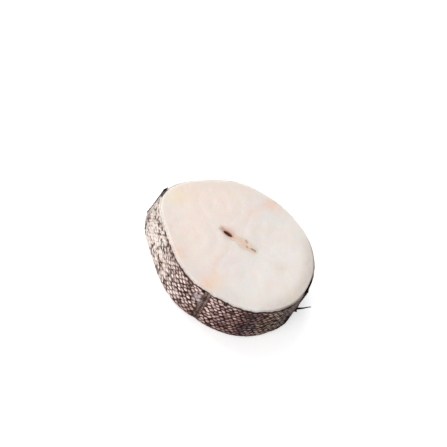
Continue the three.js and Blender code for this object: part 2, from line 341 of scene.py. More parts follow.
@dataclass
class Shell:
    """A mesh in the making: points in mm, faces, and named values on its points."""

    points: Array
    faces: list[tuple[int, ...]]
    fields: dict[str, Array] = field(default_factory=dict)

    @classmethod
    def ring(cls, stations: list[Array]) -> "Shell":
        """A closed ring-shaped body from one loop of points for each station of its profile.

        Args:
            stations: The loops, in the profile's order.

        Returns:
            The shell.
        """
        grid = np.stack(stations, axis=1)
        columns, rows = grid.shape[:2]
        index = np.arange(columns * rows).reshape(columns, rows)
        ahead = np.roll(index, -1, axis=0)
        below = np.roll(index, -1, axis=1)
        across = np.roll(ahead, -1, axis=1)
        faces = np.stack([index, below, across, ahead], axis=-1).reshape(-1, 4)
        return cls(grid.reshape(-1, 3), [tuple(face) for face in faces.tolist()])

    @classmethod
    def slab(cls, top: Array, bottom: Array) -> "Shell":
        """A closed body between two like grids of points, the top one counted along X then Y.

        Args:
            top: Points of the upper face.
            bottom: Points of the lower face.

        Returns:
            The shell.
        """
        rows, columns = top.shape[:2]
        count = rows * columns
        index = np.arange(count).reshape(rows, columns)
        quads = np.stack([index[:-1, :-1], index[1:, :-1], index[1:, 1:], index[:-1, 1:]], axis=-1)
        quads = quads.reshape(-1, 4)
        rim = np.concatenate([index[:, 0], index[-1, 1:], index[-2::-1, -1], index[0, -2:0:-1]])
        ahead = np.roll(rim, -1)
        walls = np.stack([rim, rim + count, ahead + count, ahead], axis=-1)
        faces = np.concatenate([quads, quads[:, ::-1] + count, walls]).tolist()
        points = np.concatenate([top.reshape(-1, 3), bottom.reshape(-1, 3)])
        return cls(points, [tuple(face) for face in faces])

    @classmethod
    def tube(cls, sections: Array) -> "Shell":
        """A closed body through like sections, each turning left about the way they run.

        Args:
            sections: A row of points for each section.

        Returns:
            The shell.
        """
        levels, sides = sections.shape[:2]
        faces: list[tuple[int, ...]] = []
        for level in range(levels - 1):
            for corner in range(sides):
                a = level * sides + corner
                b = level * sides + (corner + 1) % sides
                faces.append((a, b, b + sides, a + sides))
        faces.append(tuple(range(sides))[::-1])
        faces.append(tuple(range((levels - 1) * sides, levels * sides)))
        return cls(sections.reshape(-1, 3), faces)

    @classmethod
    def joined(cls, shells: list["Shell"]) -> "Shell":
        """Several shells with like fields as one.

        Args:
            shells: The shells.

        Returns:
            The joined shell.
        """
        faces: list[tuple[int, ...]] = []
        start = 0
        for shell in shells:
            faces.extend(tuple(corner + start for corner in face) for face in shell.faces)
            start += len(shell.points)
        fields = {
            name: np.concatenate([shell.fields[name] for shell in shells])
            for name in shells[0].fields
        }
        return cls(np.concatenate([shell.points for shell in shells]), faces, fields)

    def with_field(self, name: str, values: Array | float) -> "Shell":
        """Adds a named value on each point, and returns the shell."""
        self.fields[name] = np.broadcast_to(np.asarray(values, float), (len(self.points),)).copy()
        return self

    def make(self, name: str, place: Place, material: Material) -> bpy.types.Object:
        """Makes the shell a piece of the scene.

        Args:
            name: The piece's name.
            place: Carries its points to the frame.
            material: Its finish.

        Returns:
            The new object, which rides on the only body.
        """
        mesh = bpy.data.meshes.new(name)
        mesh.from_pydata(place.carry(self.points).tolist(), [], self.faces)
        mesh.polygons.foreach_set("use_smooth", [True] * len(mesh.polygons))
        for key, values in self.fields.items():
            layer = mesh.attributes.new(key, "FLOAT", "POINT")
            layer.data.foreach_set("value", values.astype(np.float32))
        mesh.materials.append(material)
        mesh.update()
        piece = bpy.data.objects.new(name, mesh)
        bpy.context.scene.collection.objects.link(piece)
        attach(piece, "root")
        log.info("%s: %d points, %d faces", name, len(mesh.vertices), len(mesh.polygons))
        return piece


# ---------------- finishes


@dataclass(frozen=True)
class Paint:
    """A colour as it looks on a screen, from 0 to 255."""

    red: float
    green: float
    blue: float

    def linear(self) -> tuple[float, float, float, float]:
        """The colour as light, by the tone curve of a common screen, with full cover.

        Returns:
            Red, green, blue and cover, from 0 to 1.
        """
        shares = [channel / 255.0 for channel in (self.red, self.green, self.blue)]
        light = [c / 12.92 if c <= 0.04045 else ((c + 0.055) / 1.055) ** 2.4 for c in shares]
        return (light[0], light[1], light[2], 1.0)


Stops = tuple[tuple[float, Paint], ...]
Socket = bpy.types.NodeSocket
Value = Socket | Paint | float | tuple[float, float, float]


@dataclass(frozen=True)
class Clouds:
    """Soft patches in a finish: their size in mm and the noise values where they start and are full.

    Share is their strength where they are full, and stretch how much longer they are along the
    fish.
    """

    pitch: float
    start: float
    full: float
    share: float = 1.0
    detail: float = 3.0
    stretch: float = 1.0


@dataclass(frozen=True)
class Gloss:
    """Roughness that wanders between two values, over patches of a size in mm."""

    pitch: float
    shiniest: float
    dullest: float


@dataclass(frozen=True)
class Grit:
    """Relief too fine for the mesh: the size and the depth of its grains, in mm."""

    pitch: float
    depth: float
    detail: float = 3.0
    stretch: float = 1.0


class Graph:
    """Builds the nodes of one finish round its shader."""

    usual_noise: Pair = (0.3, 0.7)

    def __init__(self, name: str) -> None:
        """Starts a material with only its shader.

        Args:
            name: The material's name.
        """
        self.material = bpy.data.materials.new(name)
        self.material.use_nodes = True
        self.tree = self.material.node_tree
        self.shader = self.tree.nodes["Principled BSDF"]
        self.where = self.tree.nodes.new("ShaderNodeTexCoord").outputs["Object"]

    def feed(self, socket: Socket, value: Socket | Paint | float) -> None:
        """Links a socket to another, or sets it to a colour or number.

        Args:
            socket: The socket to feed.
            value: What it gets.
        """
        if isinstance(value, bpy.types.NodeSocket):
            self.tree.links.new(value, socket)
        elif isinstance(value, Paint):
            socket.default_value = value.linear()
        else:
            socket.default_value = value

    def set_shader(self, **values: Value) -> None:
        """Feeds the shader's sockets, named with _ for a space."""
        for name, value in values.items():
            self.feed(self.shader.inputs[name.replace("_", " ")], value)

    def node(self, kind: str, out: str | int, feeds: dict[str | int, Value],
             **settings: str | bool) -> Socket:
        """A new node.

        Args:
            kind: Its type.
            out: Its output to use.
            feeds: What its inputs get.
            settings: Its other properties.

        Returns:
            The output.
        """
        node = self.tree.nodes.new(kind)
        for name, setting in settings.items():
            setattr(node, name, setting)
        for name, value in feeds.items():
            self.feed(node.inputs[name], value)
        return node.outputs[out]

    def value_of(self, name: str) -> Socket:
        """A named value of the mesh's points."""
        return self.node("ShaderNodeAttribute", "Fac", {}, attribute_name=name)

    def noise(self, pitch_mm: float, detail: float = 3.0, stretch: float = 1.0) -> Socket:
        """Noise from 0 to 1.

        Args:
            pitch_mm: Size of its features.
            detail: Number of finer octaves.
            stretch: How many times longer the features are along the fish.

        Returns:
            The noise's value.
        """
        node = self.tree.nodes.new("ShaderNodeTexNoise")
        node.inputs["Scale"].default_value = 1.0
        node.inputs["Detail"].default_value = detail
        scale = self.tree.nodes.new("ShaderNodeVectorMath")
        scale.operation = "MULTIPLY"
        frequency = 1.0 / (pitch_mm * MM)
        scale.inputs[1].default_value = (frequency, frequency, frequency / stretch)
        self.tree.links.new(self.where, scale.inputs[0])
        self.tree.links.new(scale.outputs["Vector"], node.inputs["Vector"])
        return node.outputs["Fac"]

    def clouds(self, clouds: Clouds) -> Socket:
        """Soft patches, as shares."""
        noise = self.noise(clouds.pitch, clouds.detail, clouds.stretch)
        return self.spread(noise, clouds.start, clouds.full, (0.0, clouds.share))

    def roughness(self, gloss: Gloss) -> Socket:
        """Uneven roughness."""
        return self.spread(self.noise(gloss.pitch), *self.usual_noise, (gloss.shiniest, gloss.dullest))

    def finished(self, gloss: Gloss, grits: tuple[Grit, ...], **values: Value) -> Material:
        """Ends a finish: feeds its shader, with uneven roughness and fine relief.

        Args:
            gloss: The roughness.
            grits: The relief.
            values: The shader's other sockets, named with _ for a space.

        Returns:
            The finished material.
        """
        values["Roughness"] = self.roughness(gloss)
        self.set_shader(**values)
        self.bump(grits)
        return self.material

    def maths(self, operation: str, first: Socket | float, second: Socket | float) -> Socket:
        """The result of one sum of two numbers, kept from 0 to 1."""
        feeds = {0: first, 1: second}
        return self.node("ShaderNodeMath", "Value", feeds, operation=operation, use_clamp=True)

    def spread(self, value: Socket, low: float, high: float, to: Pair) -> Socket:
        """Carries values from low to high smoothly on to another range."""
        feeds = {"Value": value, "From Min": low, "From Max": high, "To Min": to[0], "To Max": to[1]}
        return self.node("ShaderNodeMapRange", "Result", feeds, interpolation_type="SMOOTHSTEP")

    def mix(self, share: Socket | float, first: Socket | Paint, second: Socket | Paint) -> Socket:
        """A colour between two: the first at a share of 0 and the second at 1."""
        return self.node("ShaderNodeMix", 2, {0: share, 6: first, 7: second}, data_type="RGBA")

    def stain(self, colour: Socket, stains: dict[str, Paint]) -> Socket:
        """Lays paints over a colour one by one, each where the mesh's value of its name says.

        Args:
            colour: The colour below.
            stains: The paints by the values' names.

        Returns:
            The stained colour.
        """
        for name, paint in stains.items():
            colour = self.mix(self.value_of(name), colour, paint)
        return colour

    def ramp(self, value: Socket, stops: Stops) -> Socket:
        """A colour read off a ramp.

        Args:
            value: Where to read, from 0 to 1.
            stops: Positions and their colours.

        Returns:
            The colour.
        """
        node = self.tree.nodes.new("ShaderNodeValToRGB")
        ramp = node.color_ramp
        while len(ramp.elements) < len(stops):
            ramp.elements.new(1.0)
        for element, (position, paint) in zip(ramp.elements, stops):
            element.position = position
            element.color = paint.linear()
        self.feed(node.inputs["Fac"], value)
        return node.outputs["Color"]

    def bump(self, layers: tuple[Grit, ...]) -> None:
        """Roughens the shader's surface with fine relief, layer on layer.

        Args:
            layers: The layers.
        """
        heights = [self.noise(grit.pitch, grit.detail, grit.stretch) for grit in layers]
        normal: Socket | None = None
        for grit, height in zip(layers, heights):
            node = self.tree.nodes.new("ShaderNodeBump")
            node.inputs["Strength"].default_value = 1.0
            node.inputs["Distance"].default_value = grit.depth * MM
            self.feed(node.inputs["Height"], height)
            if normal is not None:
                self.tree.links.new(normal, node.inputs["Normal"])
            normal = node.outputs["Normal"]
        self.tree.links.new(normal, self.shader.inputs["Normal"])


@dataclass(frozen=True)
class FleshFinish:
    """Raw white muscle: moist, a little translucent, with cream, peach and blood tints."""

    pale: Paint = Paint(238, 231, 225)
    pink: Paint = Paint(240, 226, 219)
    cool: Paint = Paint(232, 229, 224)
    belly: Paint = Paint(243, 227, 216)
    cream: Paint = Paint(242, 226, 200)
    peach: Paint = Paint(243, 209, 187)
    # rim: a painted highlight along the flesh's rounded upper edge
    rim: Paint = Paint(255, 246, 233)
    # shade: painted shade towards the back and along the rim
    shade: Paint = Paint(212, 201, 192)
    septum: Paint = Paint(225, 214, 207)
    warm_line: Paint = Paint(240, 213, 198)
    light: Paint = Paint(248, 242, 235)
    smear: Paint = Paint(204, 146, 122)
    blood: Paint = Paint(128, 62, 44)
    bone: Paint = Paint(233, 205, 182)
    patches: Clouds = Clouds(11.0, 0.38, 0.62, detail=2.0)
    mist: Clouds = Clouds(5.0, 0.35, 0.7)
    gloss: Gloss = Gloss(1.6, 0.36, 0.52)
    grits: tuple[Grit, ...] = (Grit(1.3, 0.09, detail=4.0), Grit(0.35, 0.03, detail=2.0))

    def tinted(self, graph: Graph) -> Socket:
        """The colour of muscle and of the bone that blends into it.

        Args:
            graph: The nodes of the finish.

        Returns:
            The colour.
        """
        colour = graph.mix(graph.clouds(self.patches), self.pink, self.cool)
        colour = graph.mix(graph.clouds(self.mist), colour, self.pale)
        # shade is painted shade, and rim a painted highlight along the upper edge
        names = ("belly", "light", "septum", "warm_line", "shade", "rim", "cream", "peach", "bone",
                 "smear", "blood")
        return graph.stain(colour, {name: getattr(self, name) for name in names})

    def material(self) -> Material:
        """The finish as a material."""
        graph = Graph("raw_flesh")
        return graph.finished(
            self.gloss, self.grits, Base_Color=self.tinted(graph), Specular_IOR_Level=0.4,
            Subsurface_Weight=0.35, Subsurface_Radius=(1.0, 0.55, 0.4), Subsurface_Scale=0.0025,
            Coat_Weight=0.12, Coat_Roughness=0.28,
        )


@dataclass(frozen=True)
class BoneFinish:
    """Cut bone: porous, and coloured as the flesh is, with its own cream tone."""

    flesh: FleshFinish = FleshFinish()
    pore: Paint = Paint(186, 152, 126)
    fleck: Paint = Paint(140, 112, 88)
    pores: Clouds = Clouds(0.32, 0.58, 0.72, share=0.7, detail=2.0)
    gloss: Gloss = Gloss(0.8, 0.42, 0.6)
    grits: tuple[Grit, ...] = (Grit(0.32, 0.08, detail=2.0), Grit(1.0, 0.06, detail=2.0))

    def material(self) -> Material:
        """The finish as a material.

        Returns:
            The new material.
        """
        graph = Graph("cut_bone")
        colour = self.flesh.tinted(graph)
        pores = graph.maths("MULTIPLY", graph.clouds(self.pores), graph.value_of("bone"))
        colour = graph.mix(pores, colour, self.pore)
        colour = graph.stain(colour, {"fleck": self.fleck})
        return graph.finished(
            self.gloss, self.grits, Base_Color=colour, Specular_IOR_Level=0.4,
            Subsurface_Weight=0.3, Subsurface_Radius=(1.0, 0.5, 0.35), Subsurface_Scale=0.0015,
        )


@dataclass(frozen=True)
class ClotFinish:
    """Dark, half-dried blood."""

    dark: Paint = Paint(40, 9, 4)
    red: Paint = Paint(104, 40, 24)
    lumps: Clouds = Clouds(0.7, 0.4, 0.7)
    gloss: Gloss = Gloss(0.4, 0.3, 0.5)
    grits: tuple[Grit, ...] = (Grit(0.4, 0.08),)

    def material(self) -> Material:
        """The finish as a material."""
        graph = Graph("clotted_blood")
        return graph.finished(
            self.gloss, self.grits, Base_Color=graph.mix(graph.clouds(self.lumps), self.dark, self.red),
            Specular_IOR_Level=0.25, Coat_Weight=0.1, Coat_Roughness=0.3,
        )


@dataclass(frozen=True)
class NerveFinish:
    """The grey spinal cord."""

    grey: Paint = Paint(196, 172, 168)
    dark: Paint = Paint(150, 126, 122)
    mottle_pitch: float = 0.5
    gloss: Gloss = Gloss(0.5, 0.3, 0.5)
    grits: tuple[Grit, ...] = (Grit(0.4, 0.05),)

    def material(self) -> Material:
        """The finish as a material."""
        graph = Graph("spinal_cord")
        return graph.finished(
            self.gloss, self.grits, Coat_Weight=0.25, Coat_Roughness=0.2,
            Base_Color=graph.mix(graph.noise(self.mottle_pitch), self.grey, self.dark),
        )


@dataclass(frozen=True)
class SkinFinish:
    """Scaly skin: whitish at the belly edge, brown on the flank and near black at the back.

    Each run of stops goes from the belly edge, 0, to the back, 1.
    """

    # glint: painted highlights on the scales' middles, over their own pale colour
    glint: Stops = (
        (0.0, Paint(226, 217, 211)), (0.06, Paint(250, 241, 236)),
        (0.22, Paint(255, 249, 245)), (0.34, Paint(255, 246, 242)),
        (0.45, Paint(253, 238, 233)), (0.58, Paint(232, 204, 200)),
        (0.64, Paint(228, 198, 194)), (0.7, Paint(180, 134, 128)),
        (0.74, Paint(146, 110, 116)), (0.8, Paint(188, 158, 140)),
        (0.88, Paint(194, 170, 152)), (1.0, Paint(98, 88, 85)),
    )
    body: Stops = (
        (0.0, Paint(170, 156, 147)), (0.06, Paint(224, 209, 201)),
        (0.22, Paint(226, 208, 200)), (0.34, Paint(226, 202, 194)),
        (0.45, Paint(210, 175, 166)), (0.52, Paint(190, 150, 140)),
        (0.58, Paint(154, 113, 107)), (0.64, Paint(150, 107, 101)),
        (0.7, Paint(104, 64, 55)), (0.74, Paint(86, 50, 50)),
        (0.8, Paint(114, 83, 67)), (0.88, Paint(118, 98, 86)),
        (1.0, Paint(56, 49, 47)),
    )
    dark: Stops = (
        (0.0, Paint(96, 78, 68)), (0.1, Paint(90, 70, 60)),
        (0.22, Paint(88, 62, 53)), (0.34, Paint(84, 52, 44)),
        (0.45, Paint(72, 38, 31)), (0.58, Paint(60, 28, 22)),
        (0.74, Paint(34, 17, 18)), (0.8, Paint(46, 25, 15)),
        (0.88, Paint(42, 29, 23)), (1.0, Paint(14, 11, 11)),
    )
    lilac: Paint = Paint(200, 186, 190)
    line: Paint = Paint(76, 53, 45)
    # cut: the skin's own pale cut edge, painted brighter as a highlight that carries on the flesh's rim
    cut: Paint = Paint(250, 242, 234)
    cut_at_back: Paint = Paint(170, 154, 147)
    smooth_grey: Paint = Paint(124, 111, 108)
    black: Paint = Paint(12, 9, 9)
    warm_tint: Paint = Paint(232, 206, 182)
    cool_tint: Paint = Paint(206, 202, 210)
    green_tint: Paint = Paint(212, 218, 198)
    mottle: Clouds = Clouds(1.5, 0.4, 0.72, share=0.4)
    patches: Clouds = Clouds(3.4, 0.4, 0.6, detail=2.0)
    small_patches: Clouds = Clouds(2.1, 0.42, 0.58, detail=2.0)
    streaks: Clouds = Clouds(0.55, 0.42, 0.62, share=0.6, detail=4.0, stretch=3.0)
    tint_share: float = 0.26
    tint_fades: Pair = (0.5, 0.75)
    cut_greys: Pair = (0.7, 0.9)
    moisture: float = 0.4
    dull_at: float = 0.9
    gloss: Gloss = Gloss(0.9, 0.38, 0.58)
    grits: tuple[Grit, ...] = (Grit(0.25, 0.05, stretch=3.0), Grit(1.1, 0.05, detail=2.0))

    def tinted(self, graph: Graph, back: Socket) -> Socket:
        """The colour of the scales, with the dark pigment between them and painted highlights on their pale
        middles.

        Args:
            graph: The nodes of the finish.
            back: Share of the way to the back.

        Returns:
            The colour.
        """
        glint, body, dark = (graph.ramp(back, s) for s in (self.glint, self.body, self.dark))
        colour = graph.mix(graph.clouds(self.mottle), body, dark)
        colour = graph.mix(graph.value_of("glint"), colour, glint)
        patches = graph.clouds(self.patches)
        tint = graph.mix(graph.clouds(self.small_patches), self.cool_tint, self.green_tint)
        tint = graph.mix(patches, self.warm_tint, tint)
        colour = graph.mix(graph.spread(back, *self.tint_fades, (self.tint_share, 0.0)), colour, tint)
        return graph.mix(graph.value_of("edge"), colour, dark)

    def material(self) -> Material:
        """The finish as a material.

        Returns:
            The new material.
        """
        graph = Graph("scaly_skin")
        back = graph.value_of("back")
        colour = self.tinted(graph, back)
        smooth = graph.mix(graph.clouds(self.streaks), self.smooth_grey, self.black)
        colour = graph.mix(graph.value_of("plain"), colour, smooth)
        colour = graph.stain(colour, {"bare": self.lilac, "line": self.line})
        cut = graph.mix(graph.spread(back, *self.cut_greys, (0.0, 1.0)), self.cut, self.cut_at_back)
        colour = graph.mix(graph.value_of("cut"), colour, cut)
        colour = graph.stain(colour, {"black": self.black})
        dull = graph.maths("MAXIMUM", graph.value_of("black"), graph.value_of("plain"))
        graph.set_shader(
            Base_Color=colour,
            Roughness=graph.roughness(self.gloss),
            Specular_IOR_Level=0.0,
            Coat_Weight=graph.spread(dull, 0.0, self.dull_at, (self.moisture, 0.0)),
            Coat_Roughness=0.46,
        )
        graph.bump(self.grits)
        return graph.material


@dataclass(frozen=True)
class FinFinish:
    """Fin rays and their web: near black, browner where thin."""

    black: Paint = Paint(14, 11, 11)
    brown: Paint = Paint(56, 43, 38)
    grey: Paint = Paint(104, 92, 86)
    pale: Paint = Paint(198, 184, 178)
    streaks: Clouds = Clouds(0.5, 0.42, 0.7)
    gloss: Gloss = Gloss(0.6, 0.45, 0.65)
    grits: tuple[Grit, ...] = (Grit(0.3, 0.06),)

    def material(self) -> Material:
        """The finish as a material.

        Returns:
            The new material.
        """
        graph = Graph("trimmed_fin")
        thin = graph.maths("MULTIPLY", graph.clouds(self.streaks), graph.value_of("thin"))
        colour = graph.mix(thin, self.black, self.brown)
        colour = graph.stain(colour, {"grey": self.grey, "pale": self.pale})
        return graph.finished(self.gloss, self.grits, Base_Color=colour, Specular_IOR_Level=0.02)


# ---------------- flesh and bone


@dataclass(frozen=True)
class SeamTints:
    """The seams between the layers of muscle, and the warm line across the middle of the cut."""

    seam: Swelling = Swelling(0.5, 0.07, 1.0)
    seam_cover: Slope = Slope(0.05, 0.07)
    off_rim: Fade = Fade(2.0, 8.0)
    x: float = -1.0
    bow: float = -1.6
    waves: float = 3.0
    bend: float = 5.5
    bends: Fade = Fade(12.0, 31.0)
    spread: float = 2.3
    clear: Fade = Fade(6.0, 20.0)
    clearness: Slope = Slope(0.3, 0.7)
    cover: Slope = Slope(0.32, 0.2)
    cloudiness: float = 0.25

    def seams(self, layer: Array, to_rim: Array, grain: Array) -> Array:
        """The mask of the seams."""
        return self.seam.over(layer % 1.0) * self.off_rim.at(to_rim) * self.seam_cover.at(grain)

    def warm_line(self, x: Array, off_middle: Array, half_width: float, noise: Array) -> Array:
        """The mask of the warm line, before its clouds.

        Args:
            x: Places towards the back.
            off_middle: Distances from the middle of the fish, in mm.
            half_width: Half width of the fish.
            noise: How strong the line is.

        Returns:
            The mask's values.
        """
        middle = self.x + self.bow * np.sin(off_middle / half_width * self.waves)
        middle = middle + self.bend * self.bends.at(off_middle)
        warm = np.exp(-(((x - middle) / self.spread) ** 2)) * self.clearness.at(self.clear.at(off_middle))
        return as_share(warm * noise)


@dataclass(frozen=True)
class ShadeTints:
    """Where the flesh is darker or lighter: at the back and along the rim as painted shade, on the rim as a
    painted highlight, and at the belly.
    """

    belly: Fade = Fade(6.0, -18.0)
    belly_cover: Slope = Slope(0.7, 0.4)
    light: Fade = Fade(8.0, 22.0)
    light_share: float = 0.5
    light_cover: Slope = Slope(0.8, 0.4)
    # where the painted shade lies
    at_back: Fade = Fade(20.0, 40.0)
    at_back_rim: Fade = Fade(9.0, 1.0)
    near_side: Fade = Fade(4.0, -10.0)
    near_cover: Slope = Slope(0.15, 0.15)
    near_rim: Fade = Fade(12.0, 1.5)
    off_belly: Fade = Fade(-44.0, -28.0)
    shade_cover: Slope = Slope(0.85, 0.2)
    # where the painted highlight along the rim lies
    highlight_fall: float = 1.5
    highlight_cover: Slope = Slope(0.8, 0.3)
    highlight_off_back: Fade = Fade(38.0, 26.0)
    highlight_swollen: Slope = Slope(0.12, 0.88)

    def shade(self, x: Array, y: Array, to_rim: Array, grain: Array) -> Array:
        """The mask of the painted shade, towards the back and along the rim.

        Args:
            x: Places towards the back.
            y: Places across the fish.
            to_rim: Distances from the rim, in mm.
            grain: Fine noise.

        Returns:
            The mask's values.
        """
        shade = self.at_back.at(x) * self.at_back_rim.at(to_rim)
        near = self.near_cover.at(self.near_side.at(y))
        shade = np.maximum(shade, near * self.near_rim.at(to_rim) * self.off_belly.at(x))
        return as_share(shade * self.shade_cover.at(grain))

    def rim(self, x: Array, to_rim: Array, grain: Array, swollen: Array) -> Array:
        """The mask of the painted highlight along the rim, strongest where the flesh has swollen over the
        skin.
        """
        rim = np.exp(-(to_rim**self.highlight_fall)) * self.highlight_cover.at(grain) * self.highlight_off_back.at(x)
        return as_share(rim * self.highlight_swollen.at(swollen))


@dataclass(frozen=True)
class BoneTints:
    """The bone's tone and the blood, which show alike on the bone and the flesh beside it."""

    start: float = -9.4
    length: float = 22.0
    off_middle: Slope = Slope(2.3, -3.4)
    slant: float = 0.35
    wider: float = 1.15
    at_ends: tuple[Fade, Fade] = (Fade(-10.5, -6.0), Fade(14.0, 11.0))
    share: float = 0.95
    blood_edge: Fade = Fade(1.18, 0.95)
    blood_halo: Swelling = Swelling(0.9, 0.6, 0.8)
    smears: tuple[Spot, ...] = (Spot(-8.3, 0.9, 1.3, 0.65), Spot(-4.5, 0.4, 3.2, 0.25))
    most_smear: float = 0.9

    def bone(self, x: Array, y: Array, spine: Spine) -> Array:
        """The mask of the bone's tone.

        Args:
            x: Places towards the back.
            y: Places across the fish.
            spine: The bone.

        Returns:
            The mask's values.
        """
        along = as_share((x - self.start) / self.length)
        off_spine = y - self.off_middle.at(along) * self.slant
        width = spine.half_width(x) * self.wider
        inside = self.at_ends[0].at(x) * self.at_ends[1].at(x)
        return self.share * inside * np.exp(-((off_spine / width) ** 2))

    def smear(self, x: Array, y: Array, blood: Array) -> Array:
        """The mask of the smeared blood; the canal of blood is at 0 in its middle, 1 on its wall."""
        smears = (spot.at(x, y) for spot in self.smears)
        return np.clip(sum(smears, self.blood_halo.over(blood)), 0.0, self.most_smear)


@dataclass(frozen=True)
class Muscle:
    """The white muscle between the two cuts, with a pocket for the backbone."""

    section: Section
    spine: Spine
    skin: float = 0.85
    dome: float = 0.48
    sag_at_back: float = 0.07
    sag: Fade = Fade(26.0, 36.0)
    lumps: Lumps = Lumps(11, 5.0, 0.04)
    grain: Lumps = Lumps(12, 1.7, 0.03)
    furrows: Lumps = Lumps(13, 1.5, 0.06)
    furrow_stretch: float = 5.0
    furrow_reach: float = 5.0
    flake_relief: float = 0.08
    flake_pitch: float = 7.5
    flake_centres: tuple[Pair, ...] = ((17, 16), (17, -16), (-17, 13), (-17, -13))
    rim_round: Pair = (0.8, 1.3)
    foot_round: float = 0.8
    under_rings_lift: float = 0.12
    under_lumps: Lumps = Lumps(14, 3.0, 0.06)
    under_fade: float = 0.25
    columns: int = 420
    face_rings: int = 118
    rim_steps: int = 9
    wall_steps: int = 4
    under_rings: int = 52
    pocket_steps: int = 3
    tint_grain: Lumps = Lumps(15, 1.4, tightness=0.4)
    tint_clouds: Lumps = Lumps(16, 9.0, tightness=0.4)
    seams: SeamTints = SeamTints()
    shades: ShadeTints = ShadeTints()
    bone: BoneTints = BoneTints()
    peach_spots: tuple[Spot, ...] = (
        Spot(0.9, -31.5, 3.4, 0.8), Spot(5.6, 30.6, 3.8, 0.75), Spot(-19.6, -25.6, 3.4, 0.65),
        Spot(26.0, -0.5, 3.6, 0.3), Spot(2.0, -25.0, 3.6, 0.3), Spot(-30.0, 12.0, 5.0, 0.12),
    )
    peach_cover: Slope = Slope(1.0, 0.6)
    cream_spots: tuple[Spot, ...] = (
        Spot(-35.4, 3.2, 4.5, 0.9), Spot(-39.0, -2.0, 3.0, 0.5), Spot(3.4, -28.0, 4.0, 0.6),
        Spot(38.0, -10.0, 4.0, 0.3),
    )
    cream_cover: Slope = Slope(1.0, 0.5)

    def outward(self, x: Array, y: Array) -> Array:
        """0 at the backbone and 1 at the rim."""
        reach = (x / self.section.half_depth) ** 2 + (y / self.section.half_width) ** 2
        return np.minimum(1.0, reach)

    def layer(self, x: Array, y: Array) -> Array:
        """Distance from the nearest middle of a muscle cone, in layers."""
        nearest = np.min([np.hypot(x - cx, y - cy) for cx, cy in self.flake_centres], axis=0)
        return nearest / self.flake_pitch

    def relief(self, x: Array, y: Array) -> Array:
        """Height of the swollen, faintly ringed and grained muscle over the plane of the cut.

        Args:
            x: Places towards the back.
            y: Places across the fish.

        Returns:
            The heights, in mm.
        """
        points = np.stack([x, y, np.zeros_like(x)], axis=-1)
        inner = 1.0 - self.outward(x, y)
        rings = self.flake_relief * np.cos(FULL_TURN * self.layer(x, y))
        grain = self.lumps.at(points) + self.grain.at(points)
        return (self.dome + rings) * inner + grain - self.sag_at_back * self.sag.at(x)

    def rounding(self, turn: Array) -> Array:
        """Radius of the upper edge, which is sharper on the side where the skin still hugs it."""
        sharp, swollen = self.rim_round
        return sharp + (swollen - sharp) * self.section.swollen_rim(turn)

    def fibres(self, turn: Array, depth: Array) -> Array:
        """Short furrows that run inwards from the rim, in mm.

        Args:
            turn: Turns from the back.
            depth: Distances inwards from the rim, in mm.

        Returns:
            Their height, in mm.
        """
        arc, inwards = turn * self.section.half_depth, depth / self.furrow_stretch
        points = np.stack([arc, inwards, 0.0 * arc], axis=-1)
        return self.furrows.at(points) * np.exp(-depth / self.furrow_reach)

    def face_loops(self, turn: Array, pocket: Array) -> list[Array]:
        """Loops over the upper cut face.

        Args:
            turn: Turns from the back.
            pocket: Points of the backbone's outline at them.

        Returns:
            One loop for each ring, from the backbone outwards.
        """
        rounding = self.rounding(turn)
        outer = self.section.side(turn, self.section.thickness, self.skin + rounding)[:, :2]
        length = np.linalg.norm(outer - pocket, axis=1)
        loops = []
        for ring in range(self.face_rings + 1):
            share = ring / self.face_rings
            flat = pocket + (outer - pocket) * share
            x, y = flat.T
            height = self.section.cut_height(x, y) + self.relief(x, y)
            height = height + self.fibres(turn, length * (1.0 - share) + rounding)
            loops.append(np.column_stack([flat, height]))
        return loops

    def wall_loops(self, turn: Array) -> list[Array]:
        """Loops over the rounded rim, down the wall and round the foot.

        Args:
            turn: Turns from the back.

        Returns:
            The loops, downwards.
        """
        rounding = self.rounding(turn)
        loops = []
        for step in range(1, self.rim_steps + 1):
            bend = math.pi / 2 * step / self.rim_steps
            inset = self.skin + rounding * (1.0 - math.sin(bend))
            loop = self.section.side(turn, self.section.thickness, inset)
            x, y = loop[:, 0], loop[:, 1]
            edge = self.section.cut_height(x, y) + self.relief(x, y) + self.fibres(turn, inset + 0 * x)
            loop[:, 2] = edge - rounding * (1.0 - math.cos(bend))
            loops.append(loop)
        for step in range(1, self.wall_steps + 1):
            share = step / self.wall_steps
            z = (self.section.thickness - rounding) * (1.0 - share) + self.foot_round * share
            loops.append(self.section.side(turn, z, self.skin))
        foot_steps = self.rim_steps // 2
        for step in range(1, foot_steps + 1):
            bend = math.pi / 2 * step / foot_steps
            z = self.foot_round * (1.0 - math.sin(bend))
            inset = self.skin + self.foot_round * (1.0 - math.cos(bend))
            loops.append(self.section.side(turn, z, inset))
        return loops

    def under_loops(self, foot: Array, pocket: Array) -> list[Array]:
        """Loops over the lower cut face.

        Args:
            foot: Points of its rim.
            pocket: Points of the backbone's outline.

        Returns:
            One loop for each ring, from the rim inwards.
        """
        loops = []
        for ring in range(1, self.under_rings + 1):
            flat = foot + (pocket - foot) * ring / self.under_rings
            x, y = flat.T
            points = np.column_stack([flat, np.zeros_like(x)])
            rings = 0.5 - 0.5 * np.cos(FULL_TURN * self.layer(x, y))
            inner = np.minimum(1.0, (1.0 - self.outward(x, y)) / self.under_fade)
            lumps = self.under_lumps.strength + self.under_lumps.at(points)
            loops.append(np.column_stack([flat, inner * (self.under_rings_lift * rings + lumps)]))
        return loops

    def stations(self) -> list[Array]:
        """The profile, one loop of points for each station: over the top, down and back below.

        Returns:
            The loops.
        """
        turn = np.arange(self.columns) * FULL_TURN / self.columns
        pocket = self.spine.outline(turn)
        loops = [*self.face_loops(turn, pocket), *self.wall_loops(turn)]
        loops += self.under_loops(loops[-1][:, :2], pocket)
        low = loops[-1]
        for step in range(1, self.pocket_steps + 1):
            share = step / (self.pocket_steps + 1)
            loops.append(low * (1.0 - share) + loops[0] * share)
        return loops

